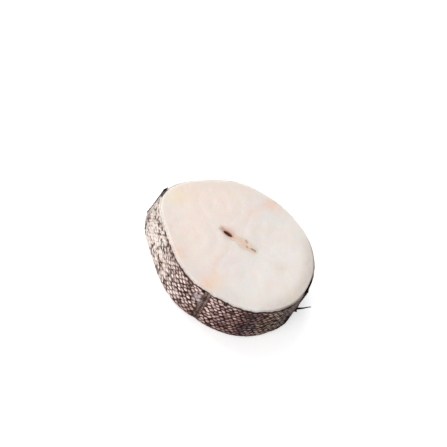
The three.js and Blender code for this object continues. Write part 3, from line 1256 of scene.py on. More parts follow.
    def tint(self, shell: Shell) -> Shell:
        """Puts on each point the masks that the flesh's finish reads.

        Args:
            shell: A shell of flesh or bone, in mm.

        Returns:
            The same shell.
        """
        x, y, z = shell.points.T
        turn = self.section.turn_at(x, y)
        rim_reach = np.linalg.norm(self.section.side(turn, z, self.skin)[:, :2], axis=1)
        to_rim = np.maximum(0.0, rim_reach - np.hypot(x, y))
        swollen = self.section.swollen_rim(turn)
        grain = self.tint_grain.at(shell.points)
        cloud = self.tint_clouds.at(shell.points)
        peach = sum(spot.at(x, y) for spot in self.peach_spots)
        cream = sum(spot.at(x, y) for spot in self.cream_spots)
        blood = self.spine.blood.reach(x, y)
        seams, shades = self.seams, self.shades
        warmth = seams.cover.at(grain) + seams.cloudiness * cloud
        warm_line = seams.warm_line(x, np.abs(y), self.section.half_width, warmth)
        shell.with_field("septum", seams.seams(self.layer(x, y), to_rim, grain))
        shell.with_field("belly", as_share(shades.belly.at(x) * shades.belly_cover.at(cloud)))
        shell.with_field("warm_line", warm_line)
        shell.with_field("light", shades.light_share * shades.light.at(x) * shades.light_cover.at(cloud))
        # shade: painted shade towards the back and along the rim
        shell.with_field("shade", shades.shade(x, y, to_rim, grain))
        # rim: the painted highlight along the upper edge
        shell.with_field("rim", shades.rim(x, to_rim, grain, swollen))
        shell.with_field("peach", as_share(peach * self.peach_cover.at(grain)))
        shell.with_field("cream", as_share(cream * self.cream_cover.at(grain)))
        shell.with_field("bone", self.bone.bone(x, y, self.spine))
        shell.with_field("smear", self.bone.smear(x, y, blood))
        shell.with_field("blood", self.bone.blood_edge.at(blood) * self.bone.share)
        return shell

    def build(self, place: Place, finish: FleshFinish) -> None:
        """Makes the flesh, which stands for the solid one.

        Args:
            place: Carries it to the frame.
            finish: Its finish.
        """
        shell = self.tint(Shell.ring(self.stations()))
        piece = shell.make("raw_flesh", place, finish.material())
        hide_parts("flesh")


@dataclass(frozen=True)
class Backbone:
    """The cut vertebra, the clot in its lower canal and the cord in its upper one."""

    muscle: Muscle
    sunk: float = 0.12
    rows: int = 190
    lanes: int = 42
    foot: float = 0.05
    end_gap: float = 0.03
    overlap: float = 0.02
    grain_levels: Pair = (3.0, 40.0)
    grains: tuple[Lumps, ...] = (Lumps(21, 0.55, 0.07), Lumps(22, 1.5, 0.06))
    brim: Fade = Fade(1.12, 0.9)
    mouths: Pair = (1.9, 0.9)
    lower_mouth: float = 0.6
    plug_sides: int = 48
    plug_rings: int = 12
    plug_reach: float = 1.04
    plug_shoulder: float = 0.4
    plug_foot: tuple[Pair, ...] = ((0.3, 0.05), (0.3, 0.9), (0.6, 1.04))
    clot_bulge: float = 0.25
    clot_lumps: Lumps = Lumps(23, 0.6, 0.16)
    nerve_bulge: float = 0.15
    nerve_lumps: Lumps = Lumps(24, 0.6, 0.16)
    lumps_from: float = 0.2
    fleck_share: float = 0.7
    flecks: tuple[Spot, ...] = (
        Spot(4.9, 2.1, 0.5), Spot(5.7, 1.7, 0.45), Spot(6.7, -0.5, 0.5),
        Spot(7.3, -0.9, 0.4), Spot(8.6, -0.7, 0.35),
    )

    def face(self, upper: bool) -> Array:
        """Grid of points of one cut face of the bone.

        Args:
            upper: Whether it is the upper face.

        Returns:
            The points, counted along the bone, then across it.
        """
        spine = self.muscle.spine
        turn = np.linspace(math.pi - self.end_gap, self.end_gap, self.rows)
        x = spine.x + spine.half_length * np.cos(turn)
        half = spine.half_width(x) * np.sin(turn) + self.overlap
        lane = np.linspace(-1.0, 1.0, self.lanes)
        x = np.repeat(x[:, None], self.lanes, axis=1)
        y = half[:, None] * lane[None, :]
        points = np.stack([x, y, np.full_like(x, self.grain_levels[0 if upper else 1])], axis=-1)
        inner = 1.0 - np.abs(lane[None, :]) ** 3
        lift = inner * (sum(grain.at(points) for grain in self.grains) - self.sunk)
        for canal, depth in zip((spine.blood, spine.nerve), self.mouths):
            lift = lift - (depth if upper else self.lower_mouth) * self.brim.at(canal.reach(x, y))
        if upper:
            z = self.muscle.section.cut_height(x, y) + self.muscle.relief(x, y) + lift
        else:
            z = self.foot - lift
        return np.stack([x, y, z], axis=-1)

    def build_bone(self, place: Place, finish: BoneFinish) -> None:
        """Makes the bone, which stands for the solid one.

        Args:
            place: Carries it to the frame.
            finish: Its finish.
        """
        shell = self.muscle.tint(Shell.slab(self.face(True), self.face(False)))
        x, y, _ = shell.points.T
        fleck = sum(spot.at(x, y) for spot in self.flecks)
        shell.with_field("fleck", as_share(self.fleck_share * fleck))
        piece = shell.make("cut_backbone", place, finish.material())
        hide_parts("backbone")

    def plug(self, canal: Canal, lumps: Lumps, bulge: float) -> Shell:
        """What fills a canal: an upright rod with a lumpy top.

        Args:
            canal: The canal that it fills.
            lumps: Its lumps.
            bulge: Height of its middle over its edge, in mm.

        Returns:
            The plug's shell.
        """
        turn = np.arange(self.plug_sides) * FULL_TURN / self.plug_sides
        middle = self.muscle.section.cut_height(np.array(canal.x), np.array(0.0))
        top = float(middle) + self.muscle.dome - canal.sunk
        sections = [*self.plug_foot, (top - self.plug_shoulder, self.plug_reach)]
        for ring in range(1, self.plug_rings + 1):
            reach = self.plug_reach * math.cos(math.pi / 2 * ring / (self.plug_rings + 1))
            sections.append((top + bulge * (1.0 - reach**2), reach))
        loops = []
        for level, reach in sections:
            height = np.full(self.plug_sides, level)
            x = canal.x + canal.half_length * reach * np.cos(turn)
            y = canal.half_width * reach * np.sin(turn)
            points = np.stack([x, y, height], axis=-1)
            rise = np.where(height > top - self.lumps_from, lumps.at(points), 0.0)
            loops.append(np.stack([x, y, height + rise], axis=-1))
        return Shell.tube(np.array(loops))

    def build_fillings(self, place: Place, clot: ClotFinish, nerve: NerveFinish) -> None:
        """Makes the clot and the spinal cord, which stand for the solid ones.

        Args:
            place: Carries them to the frame.
            clot: Finish of the clot.
            nerve: Finish of the spinal cord.
        """
        spine = self.muscle.spine
        shell = self.plug(spine.blood, self.clot_lumps, self.clot_bulge)
        piece = shell.make("clotted_blood", place, clot.material())
        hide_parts("blood_clot")
        shell = self.plug(spine.nerve, self.nerve_lumps, self.nerve_bulge)
        piece = shell.make("nerve_cord", place, nerve.material())
        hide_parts("spinal_cord")


# ---------------- skin


@dataclass(frozen=True)
class Blotch:
    """A dark or, below zero, a pale cloud in the skin's pigment, alike on both sides."""

    back: float
    z: float
    across: float
    along: float
    amount: float

    def at(self, back: Array, z: Array) -> Array:
        """Strength at places, given as shares towards the back and heights."""
        away = ((back - self.back) / self.across) ** 2 + ((z - self.z) / self.along) ** 2
        return self.amount * np.exp(-away)


@dataclass(frozen=True)
class BlackSkin:
    """Where the skin is black beside the two fins, as fades across the fish and along it, in mm."""

    ragged: tuple[Lumps, ...] = (Lumps(39, 3.1, 0.7), Lumps(44, 1.0, 0.4, tightness=0.6))
    by_fin: tuple[Fade, Fade] = (Fade(16.5, 10.0, 3.0), Fade(17.5, 8.5, 4.0))
    by_fin_share: float = 0.9
    at_foot: tuple[Fade, Fade] = (Fade(24.0, 15.0), Fade(3.2, 1.6, 1.6))
    at_top: tuple[Fade, Fade] = (Fade(9.0, 3.0, 2.0), Fade(-9.0, -4.0, 2.0))
    at_top_from: Fade = Fade(14.0, 20.0, -4.0)
    thickness: float = 25.0
    belly_shift: float = 3.6
    belly_wobble: Lumps = Lumps(39, 1.5, 0.5)
    belly_reach: Slope = Slope(2.6, 2.2)
    belly_widens: Fade = Fade(14.0, 20.0)
    belly_ragged: Lumps = Lumps(44, 0.9, 1.2)
    beside: tuple[Fade, Fade] = (Fade(1.2, -0.8), Fade(-1.2, 0.0))
    belly_from: Fade = Fade(7.0, 13.0)
    belly_share: float = 0.85

    def at_back(self, points: Array) -> Array:
        """Black beside the back fin, and along the bottom edge below the smooth part next to it.

        Args:
            points: Points on the skin.

        Returns:
            The mask's values.
        """
        y, z = points[..., 1], points[..., 2]
        grain = sum(lumps.at(points) for lumps in self.ragged)
        by_fin = self.by_fin[0].at(np.abs(y), grain) * self.by_fin[1].at(z, grain)
        # black along the lowest few mm of the side, towards the back
        below = self.at_foot[0].at(np.abs(y)) * self.at_foot[1].at(z, grain)
        above = self.at_top[0].at(y, grain) * self.at_top[1].at(y, grain)
        return as_share(self.by_fin_share * by_fin + below + above * self.at_top_from.at(z, grain))

    def at_belly(self, points: Array) -> Array:
        """Black skin along the upper half of the belly fin, on the side of the bare patch.

        Args:
            points: Points on the skin.

        Returns:
            The mask's values.
        """
        z = points[..., 2]
        off_fin = self.belly_shift * z / self.thickness - points[..., 1]
        off_fin = off_fin + self.belly_wobble.at(points)
        reach = self.belly_reach.at(self.belly_widens.at(z)) + self.belly_ragged.at(points)
        beside = self.beside[0].at(off_fin - reach) * self.beside[1].at(off_fin)
        return self.belly_share * beside * self.belly_from.at(z)


@dataclass(frozen=True)
class Pigment:
    """How the skin's colours are spread, as the strengths of the masks that its finish reads."""

    coarse: Lumps = Lumps(33, 5.5)
    fine: Lumps = Lumps(34, 2.0)
    line_width: Slope = Slope(1.75, 0.9)
    line_widens: Fade = Fade(5.0, 0.5)
    line_wobble: float = 0.3
    line_cover: Slope = Slope(0.9, 0.3)
    plain: Fade = Fade(15.5, 12.5, 1.0)
    plain_cover: Slope = Slope(0.95, 0.25)
    unevenness: Pair = (0.22, 0.16)
    uneven_from: Fade = Fade(0.05, 0.4)
    denser_at_back: Slope = Slope(0.55, 1.3)
    density: Lumps = Lumps(40, 2.6, 0.8)
    densities: Pair = (0.1, 1.0)
    speckles: tuple[Lumps, ...] = (Lumps(47, 1.2, tightness=0.75), Lumps(48, 4.0, 0.5))
    speckle: Fade = Fade(0.26, 0.44)
    speckle_range: tuple[Fade, Fade] = (Fade(0.01, 0.06), Fade(0.42, 0.24))
    speckle_share: float = 0.85
    drift: float = 0.02
    bare_cover: Slope = Slope(0.55, 0.45)
    bare_grain: Lumps = Lumps(45, 0.9)
    glint_loss: float = 0.8
    blotches: tuple[Blotch, ...] = (
        Blotch(0.39, 22.0, 0.06, 4.0, 0.35), Blotch(0.41, 6.0, 0.05, 6.0, -0.35),
        Blotch(0.28, 23.0, 0.03, 2.0, 0.4), Blotch(0.29, 16.0, 0.02, 2.5, 0.3),
        Blotch(0.45, 22.0, 0.02, 3.0, 0.3), Blotch(0.45, 3.0, 0.025, 2.5, 0.4),
        Blotch(0.045, 6.8, 0.015, 1.6, 0.9), Blotch(0.49, 4.0, 0.035, 5.5, 0.3),
        Blotch(0.62, 6.0, 0.04, 5.0, 0.2), Blotch(0.73, 14.0, 0.035, 7.0, 0.55),
        Blotch(0.72, 22.5, 0.04, 2.5, 0.45), Blotch(0.16, 14.0, 0.05, 6.0, -0.3),
    )

    def blotch_at(self, points: Array, bearing: Array) -> Array:
        """Dark blotches and speckles, or pale ones below zero.

        Args:
            points: Points on the skin, in mm.
            bearing: Share of the way to the back at each.

        Returns:
            Their strength.
        """
        coarse, fine = self.unevenness
        uneven = coarse * self.coarse.at(points) + fine * self.fine.at(points)
        blotch = sum(blotch.at(bearing, points[:, 2]) for blotch in self.blotches)
        blotch = blotch + uneven * self.uneven_from.at(bearing)
        speckle = self.speckle.at(sum(lumps.at(points) for lumps in self.speckles))
        speckle = speckle * self.speckle_range[0].at(bearing)
        return blotch + self.speckle_share * speckle * self.speckle_range[1].at(bearing)

    def line_at(self, points: Array, off_line: Array) -> Array:
        """The mask of the lateral line.

        Args:
            points: Points on the skin, in mm.
            off_line: Distance of each from the line, in mm.

        Returns:
            The mask's values.
        """
        fine = self.fine.at(points)
        width = self.line_width.at(self.line_widens.at(points[:, 2])) + self.line_wobble * fine
        return as_share(np.exp(-((off_line / width) ** 4)) * self.line_cover.at(fine))


@dataclass(frozen=True)
class ScaleShape:
    """One scale: its outline, its rings of points and how it stands up, in mm or shares."""

    sides: int = 14
    rings: tuple[float, ...] = (0.34, 0.62, 0.86, 1.0)
    skirt_ring: float = 0.97
    skirt: float = 0.4
    squareness: float = 1.55
    twist: float = 0.18
    unlike: float = 0.22
    hinge: float = 0.05
    slope: Fade = Fade(-1.1, 0.7)
    bulge: float = 0.10
    thin_rim: float = 0.06

    def outline(self) -> tuple[Array, Array, Array, Array]:
        """The points of a flat scale of half width and half length 1.

        Returns:
            Its places across and along the fish, its depth below the scale's face, and its
            share of the way to the scale's rim.
        """
        rings = np.array([0.0, *self.rings, self.skirt_ring])
        angle = np.arange(self.sides) * FULL_TURN / self.sides
        power = self.squareness
        shape = (np.abs(np.cos(angle)) ** power + np.abs(np.sin(angle)) ** power) ** (-1 / power)
        u = np.concatenate([[0.0], (rings[1:, None] * (shape * np.cos(angle))).ravel()])
        v = np.concatenate([[0.0], (rings[1:, None] * (shape * np.sin(angle))).ravel()])
        skirt = np.zeros(len(u))
        skirt[-self.sides:] = self.skirt
        rim = np.concatenate([[0.0], np.repeat(rings[1:-1], self.sides), np.full(self.sides, 1.0)])
        return u, v, skirt, rim

    def faces(self, count: int) -> list[tuple[int, ...]]:
        """Faces of a number of scales, point for point as the outline gives them.

        Args:
            count: Number of scales.

        Returns:
            The faces.
        """
        faces: list[tuple[int, ...]] = []
        loops = len(self.rings) + 1
        size = 1 + loops * self.sides
        for scale in range(count):
            start = scale * size
            for corner in range(self.sides):
                ahead = (corner + 1) % self.sides
                faces.append((start, start + 1 + corner, start + 1 + ahead))
                for loop in range(loops - 1):
                    a = start + 1 + loop * self.sides
                    b = a + self.sides
                    faces.append((a + corner, b + corner, b + ahead, a + ahead))
        return faces

    def height(self, u: Array, v: Array, rim: Array, tall: Array, sunk: float) -> Array:
        """Heights of scales' faces, given their points' share of the way to the rim and how tall."""
        bulge = self.bulge * (1.0 - u**2) * (1.0 - as_share(v) ** 4)
        return -sunk - self.hinge + (tall + sunk) * self.slope.at(v) + bulge - self.thin_rim * rim**6


@dataclass(frozen=True)
class ScaleMarks:
    """How each scale is marked: a painted highlight on its pale middle between dark edges, or flecks towards
    the belly.
    """

    tone: float = 0.28
    # strength of each scale's painted highlight
    bright: Pair = (1.0, 0.45)
    brightest: float = 1.3
    lean: float = 0.55
    leans: Fade = Fade(0.66, 0.3)
    unlike_lean: float = 0.2
    middle: float = 0.16
    reach: float = 1.35
    edge: Fade = Fade(0.58, 0.9)
    toned_to: float = 0.95
    shine_half: Pair = (1.2, 0.66)
    worn_spread: float = 0.9
    worn_fall: float = 1.5
    clusters: Lumps = Lumps(46, 5.0, 0.6)
    flecked: Pair = (0.35, 0.7)
    most_flecked: float = 1.4
    fleck: Fade = Fade(0.34, 0.62)
    whole: Fade = Fade(0.2, 0.45)
    faint_edge: float = 0.1

    def at(self, u: Array, v: Array, half: tuple[Array, Array], centres: Array, bearing: Array,
           below: Array, draw: np.random.Generator) -> tuple[Array, Array]:
        """The masks of the scales' dark edges and of the painted highlights on their pale middles.

        Args:
            u: Places across a scale.
            v: Places along it.
            half: Half width and half length of each scale, in mm.
            centres: Turn and height of each.
            bearing: Share of the way to the back of each.
            below: The point of the skin below each.
            draw: Where random numbers come from.

        Returns:
            A row of edge values and a row of glint values for each scale.
        """
        rows = (len(centres), 1)
        tone = draw.normal(0.0, self.tone, rows)
        bright = np.clip(draw.normal(*self.bright, rows), 0.0, self.brightest)
        lean = np.sign(centres[:, :1] - math.pi) * self.lean * self.leans.at(bearing)
        lean = lean + draw.normal(0.0, self.unlike_lean, rows)
        round_body, to_tail = half[0][:, None] * u, half[1][:, None] * (v - self.middle)
        lengthwise = round_body * np.cos(lean) - to_tail * np.sin(lean)
        crosswise = round_body * np.sin(lean) + to_tail * np.cos(lean)
        middle = np.hypot(lengthwise / self.reach, crosswise / self.reach)
        edge = np.maximum(self.edge.at(middle) + tone * (middle < self.toned_to), 0.0)
        shine = np.hypot(lengthwise / self.shine_half[0], crosswise / self.shine_half[1])
        # the painted highlight on each scale's pale middle
        glint = bright * np.exp(-(shine**2)) * (1.0 - as_share(tone))
        worn = draw.normal(math.pi / 2, self.worn_spread, rows)
        part = np.maximum(np.cos(np.arctan2(v, u)[None, :] - worn), 0.0) ** self.worn_fall
        cluster = self.clusters.at(below)[:, None]
        part = part * np.clip(draw.normal(*self.flecked, rows) + cluster, 0.0, self.most_flecked)
        whole = self.whole.at(bearing)
        fleck = self.fleck.at(middle) * part
        return edge * whole + (1.0 - whole) * (fleck + self.faint_edge * edge), glint


@dataclass(frozen=True)
class Hide:
    """The skin round the flesh, its scales and its lateral lines."""

    section: Section
    thickness: float = 0.9
    foot: float = 0.06
    shrink: Pair = (0.34, 0.95)
    edge_waves: tuple[tuple[float, float, float], ...] = ((9, 0.15, 1.0), (23, 0.09, 0.0))
    bite: float = 0.4
    bite_lumps: Lumps = Lumps(50, 2.3)
    bites: Fade = Fade(0.02, 0.4)
    sunk: float = 0.3
    sunk_at_rim: float = 0.14
    sunk_below_rim: Fade = Fade(0.5, 1.4)
    rag: Lumps = Lumps(35, 0.9, 0.12)
    rag_level: float = 20.0
    swollen_rag: float = 0.5
    cut_profile: tuple[Pair, ...] = ((0.92, -0.14), (0.75, -0.1), (0.55, -0.02), (0.36, 0.1))
    wall_from: float = 0.28
    folds: Lumps = Lumps(51, 1.1, 0.09, tightness=0.35)
    roughness: tuple[Lumps, ...] = (Lumps(36, 1.0, 0.05), Lumps(37, 0.5, 0.04, tightness=0.3))
    foot_bevel: Pair = (0.03, 0.7)
    behind: float = 0.02
    cut_top: tuple[float, ...] = (1.0, 1.0, 1.0, 0.85)
    cut_foot: tuple[float, ...] = (0.3, 1.0, 1.0)
    worn: Slope = Slope(0.6, 2.0)
    worn_lumps: Lumps = Lumps(49, 1.6, tightness=0.2)
    worn_most: Pair = (0.8, 0.75)
    frayed_lumps: Lumps = Lumps(42, 2.6, tightness=0.3)
    frayed: Pair = (0.9, 0.05)
    frayed_swollen: Slope = Slope(1.8, 0.8)
    fray_blur: float = 0.25
    # pale cut band, also a painted highlight where the flesh has swollen over the edge
    pale_cut_and_highlight: Slope = Slope(0.6, 0.4)
    between_scales: Fade = Fade(0.12, 0.46)
    between_share: float = 0.9
    between_lumps: Lumps = Lumps(43, 0.9, 0.2)
    columns: int = 784
    rows: int = 54
    scale_columns: int = 98
    scale_rows: int = 13
    scale_rise: float = 0.3
    cut_back: Pair = (-0.2, 0.6)
    hidden_cut_back: float = 1.9
    tallest: float = 0.3
    scale: ScaleShape = ScaleShape()
    scale_marks: ScaleMarks = ScaleMarks()
    scale_seed: int = 41
    scale_jitter: Pair = (0.0055, 0.24)
    scale_overlap: Pair = (0.53, 1.12)
    scale_unlike: float = 0.06
    scale_foot_gap: float = 0.04
    lost: tuple[float, float, float] = (0.3, 0.08, 0.02)
    lost_in_patch: float = 0.45
    bare_at_back: float = 13.0
    bare_at_belly: float = 1.6
    smooth_at_back: Fade = Fade(14.5, 12.5)
    smooth_at_belly: Fade = Fade(3.0, 1.6)
    line_x: float = 3.9
    line_slant: float = 0.9
    line_width: float = 1.7
    line_dent: float = 0.45
    line_wander: Lumps = Lumps(31, 3.5, 0.4)
    line_clear: float = 1.5
    line_scales: int = 17
    line_pitch: float = 1.4
    line_from: float = 0.8
    line_lane: float = 0.75
    line_stagger: float = 0.7
    line_jitter: float = 0.1
    line_scale_half: Pair = (0.75, 1.05)
    line_scale_rise: float = 0.2
    bare_patch: Pair = (0.0, 16.2)
    patch_half: Pair = (2.1, 4.4)
    patch_slant: float = 0.12
    patch_lumps: Lumps = Lumps(32, 1.2, 0.5)
    patch_fade: Fade = Fade(1.3, 0.75)
    pigment: Pigment = Pigment()
    black_skin: BlackSkin = BlackSkin()
    spot_lumps: Lumps = Lumps(38, 0.8, 0.35)
    spot_fade: Fade = Fade(1.35, 0.8)
    spot_flatness: float = 1.25
    black_spots: tuple[tuple[float, float, float], ...] = (
        # x, z, spread, on the side of the bare patch
        (0.0, 19.6, 0.7), (1.3, 20.6, 0.5), (1.2, 13.0, 0.55), (-0.7, 12.8, 0.5),
        (0.4, 15.6, 0.35), (-4.6, 21.4, 0.7), (1.6, 24.0, 0.7), (1.2, 11.6, 0.5),
        (1.9, 9.8, 0.5), (2.7, 8.0, 0.55),
    )

    def bearing(self, points: Array) -> Array:
        """0 at the belly edge and 1 at the back, on either side."""
        return 1.0 - np.abs(np.degrees(np.arctan2(points[..., 1], points[..., 0]))) / 180.0

    def top(self, turn: Array) -> Array:
        """Height of the skin's ragged upper edge.

        Args:
            turn: Turns from the back.

        Returns:
            The height at each turn, in mm.
        """
        rim = self.section.side(turn, self.section.thickness, 0.0)
        hugging, drawn_back = self.shrink
        edge = self.section.cut_height(rim[..., 0], rim[..., 1]) - hugging
        swollen = self.section.swollen_rim(turn)
        edge = edge - (drawn_back - hugging) * swollen
        edge = edge - self.bite * self.bites.at(self.bite_lumps.at(rim)) * (1.0 - swollen)
        for waves, height, phase in self.edge_waves:
            edge = edge + height * np.sin(waves * turn + phase)
        return edge

    def from_line(self, points: Array) -> Array:
        """Distance towards the back from the lateral line of either side.

        Args:
            points: Points on the skin.

        Returns:
            The distance of each, in mm.
        """
        lower = 1.0 - points[..., 2] / self.section.thickness
        wander = self.line_wander.at(points * (0, 0, 1.0) + (0, 5, 0))
        return points[..., 0] - self.line_x - self.line_slant * lower - wander

    def dent(self, points: Array) -> Array:
        """Depth of the lateral line's groove."""
        return self.line_dent * np.exp(-((self.from_line(points) / self.line_width) ** 2))

    def on_patch_side(self, points: Array) -> Array:
        """Whether each point is on the side of the fish with the bare patch."""
        return points[..., 1] < 0

    def patch(self, points: Array) -> Array:
        """The mask of the patch that has lost its scales.

        Args:
            points: Points on the skin.

        Returns:
            1 in the patch's middle and 0 off it.
        """
        x, z = self.bare_patch
        half_width, half_length = self.patch_half
        slant = self.patch_slant * (z - points[..., 2])
        away = np.hypot((points[..., 0] - x - slant) / half_width, (points[..., 2] - z) / half_length)
        patch = self.patch_fade.at(away + self.patch_lumps.at(points))
        return np.where(self.on_patch_side(points), patch, 0.0)

    def spots(self, points: Array) -> Array:
        """The mask of the black spots and scraps of skin round the bare patch.

        Args:
            points: Points on the skin.

        Returns:
            1 in the spots' middles and 0 off them.
        """
        grain = self.spot_lumps.at(points)
        total = np.zeros(points.shape[:-1])
        for x, z, spread in self.black_spots:
            away = np.hypot(points[..., 0] - x, self.spot_flatness * (points[..., 2] - z)) / spread
            total = np.maximum(total, self.spot_fade.at(away + grain))
        return np.where(self.on_patch_side(points), total, 0.0)

    def black(self, points: Array) -> Array:
        """The mask of all the black skin, beside the fins and round the bare patch."""
        at_back, at_belly = self.black_skin.at_back(points), self.black_skin.at_belly(points)
        return np.maximum(np.where(points[..., 0] > 0, at_back, at_belly), self.spots(points))

    def smooth_zone(self, points: Array) -> Array:
        """1 on the smooth skin beside the fins, which has no large scales."""
        across = np.abs(points[..., 1])
        return np.where(points[..., 0] > 0, self.smooth_at_back.at(across), self.smooth_at_belly.at(across))

    def mark(self, shell: Shell, edge: Array, glint: Array | float, cut: Array | float) -> Shell:
        """Puts on each point the masks that the skin's finish reads.

        Args:
            shell: A shell of skin or scales, in mm.
            edge: How much of the dark pigment between scales each point shows.
            glint: How much of the painted highlight on a scale's pale middle each point shows.
            cut: How much each point belongs to the pale cut through the skin.

        Returns:
            The same shell.
        """
        points, pigment = shell.points, self.pigment
        fine = pigment.fine.at(points)
        bearing = self.bearing(points)
        plain = pigment.plain.at(np.abs(points[:, 1]), fine) * (points[:, 0] > 0)
        blotch = pigment.blotch_at(points, bearing)
        sparse = np.clip(pigment.denser_at_back.at(bearing) + pigment.density.at(points), *pigment.densities)
        bare = self.patch(points) * pigment.bare_cover.at(pigment.bare_grain.at(points))
        shell.with_field("back", as_share(bearing + pigment.drift * pigment.coarse.at(points)))
        shell.with_field("line", pigment.line_at(points, self.from_line(points)))
        shell.with_field("plain", as_share(plain * pigment.plain_cover.at(fine)))
        shell.with_field("bare", bare)
        shell.with_field("black", self.black(points))
        shell.with_field("edge", as_share(edge * sparse + np.maximum(blotch, 0.0)))
        # glint: the painted highlights on the scales
        shell.with_field("glint", as_share(glint - pigment.glint_loss * blotch) * (1.0 - plain))
        return shell.with_field("cut", as_share(cut))

    def loops(self, turn: Array, top: Array) -> list[Array]:
        """The skin's profile: over its cut edge, down its outside and back up behind.

        Args:
            turn: Turns from the back.
            top: Height of the upper edge at each.

        Returns:
            One loop of points for each station of the profile.
        """
        side, foot = self.section.side, self.foot
        loops = [side(turn, top - drop, inset) for inset, drop in self.cut_profile]
        for row in range(self.rows + 1):
            z = (top - self.wall_from) * (1.0 - row / self.rows) + foot * row / self.rows
            flat = side(turn, z, 0.0)
            smooth = self.smooth_zone(flat)
            rough = sum(lumps.at(flat) for lumps in self.roughness) + smooth * self.folds.at(flat)
            scaly = self.sunk_below_rim.at(top - z) * (1.0 - smooth)
            inset = self.sunk_at_rim + (self.sunk - self.sunk_at_rim) * scaly
            loops.append(side(turn, z, inset + self.dent(flat) + rough))
        bevel_drop, bevel_inset = self.foot_bevel
        loops.append(side(turn, foot - bevel_drop, bevel_inset))
        loops.append(side(turn, foot, self.thickness + self.behind))
        loops.append(side(turn, (top + foot) / 2, self.thickness + self.behind))
        return loops

    def cut_mask(self, shell: Shell, top: Array, swollen: Array) -> Array:
        """The mask of the pale cut through the skin, wider and fuller where the flesh has swollen over the
        edge, where it is also a painted highlight.

        Args:
            shell: The skin's shell.
            top: Height of the upper edge at each turn.
            swollen: 1 at the turns where the flesh has swollen over the edge.

        Returns:
            The mask's values on the shell's points.
        """
        stations = len(shell.points) // self.columns
        at_top, at_foot = len(self.cut_top), len(self.cut_foot)
        cut_row = np.zeros(stations)
        cut_row[:at_top], cut_row[-at_foot:] = self.cut_top, self.cut_foot
        depth = np.repeat(top, stations) - shell.points[:, 2]
        swollen = np.repeat(swollen, stations)
        worn = as_share(self.worn.at(self.worn_lumps.at(shell.points)))
        outside = np.tile(np.arange(stations) >= at_top - 1, self.columns)
        worn = np.where(outside, self.worn_most[0] * worn, self.worn_most[1])
        cut = np.tile(cut_row, self.columns) * (swollen + (1.0 - swollen) * worn)
        lumps = self.frayed_lumps.at(shell.points)
        hugging = (self.frayed[0] * lumps - self.frayed[1]) * (1.0 - swollen)
        frayed = hugging + self.frayed_swollen.at(lumps) * swollen
        frayed = smooth_step(frayed + self.fray_blur, frayed - self.fray_blur, depth)
        # where the flesh has swollen over the edge, the pale band is also a painted highlight
        return np.maximum(cut, self.pale_cut_and_highlight.at(swollen) * frayed)

    def build_base(self, place: Place, material: Material) -> None:
        """Makes the skin below the scales, which stands for the solid one.

        Args:
            place: Carries it to the frame.
            material: Its finish.
        """
        turn = np.arange(self.columns) * FULL_TURN / self.columns
        swollen = self.section.swollen_rim(turn)
        ragged = self.rag.at(self.section.side(turn, self.rag_level, 0.0))
        top = self.top(turn) + ragged * (1.0 - self.swollen_rag * swollen)
        shell = Shell.ring(self.loops(turn, top))
        between = self.between_scales.at(self.bearing(shell.points))
        edge = self.between_share * between + self.between_lumps.at(shell.points)
        self.mark(shell, edge, 0.0, self.cut_mask(shell, top, swollen))
        piece = shell.make("skin_under_scales", place, material)
        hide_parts("skin")

    def scale_centres(self, draw: np.random.Generator) -> Array:
        """Turn and height of each scale, in offset rows, without the bare places.

        Args:
            draw: Where random numbers come from.

        Returns:
            One row for each scale.
        """
        centres = []
        for row in range(self.scale_rows + 1):
            for column in range(2 * self.scale_columns):
                if (row + column) % 2 == 0:
                    turn = FULL_TURN * column / (2 * self.scale_columns)
                    top = float(self.top(np.array(turn)))
                    centres.append((turn, top - (top - self.foot) * row / self.scale_rows, row))
        placed = np.array(centres)
        row = placed[:, 2]
        placed = placed[:, :2]
        placed[:, 0] += draw.normal(0.0, self.scale_jitter[0], len(placed))
        placed[:, 1] += draw.normal(0.0, self.scale_jitter[1], len(placed))
        points = self.section.side(placed[:, 0], placed[:, 1], 0.0)
        at_back = (points[:, 0] > 0) & (np.abs(points[:, 1]) < self.bare_at_back)
        at_belly = (points[:, 0] < 0) & (np.abs(points[:, 1]) < self.bare_at_belly)
        on_line = np.abs(self.from_line(points)) < self.line_clear
        first, second, others = self.lost
        lost = draw.random(len(placed)) < np.where(row == 0, first, np.where(row == 1, second, others))
        kept = ~(at_back | at_belly | on_line | lost | (self.patch(points) > self.lost_in_patch))
        return placed[kept]

    def line_centres(self, draw: np.random.Generator) -> Array:
        """Turn and height of the small pored scales along the two lateral lines.

        Args:
            draw: Where random numbers come from.

        Returns:
            One row for each scale.
        """
        centres = []
        for side in (1.0, -1.0):
            for step in range(self.line_scales):
                z = self.line_from + step * self.line_pitch
                lower = 1.0 - z / self.section.thickness
                x = self.line_x + self.line_slant * lower
                for across in (-self.line_lane, self.line_lane):
                    turn = side * math.acos((x + across) / self.section.half_depth)
                    centres.append((turn, z + self.line_stagger * (across > 0)))
        placed = np.array(centres)
        placed[:, 1] += draw.normal(0.0, self.line_jitter, len(placed))
        return placed[placed[:, 1] < self.top(placed[:, 0]) - self.bite]

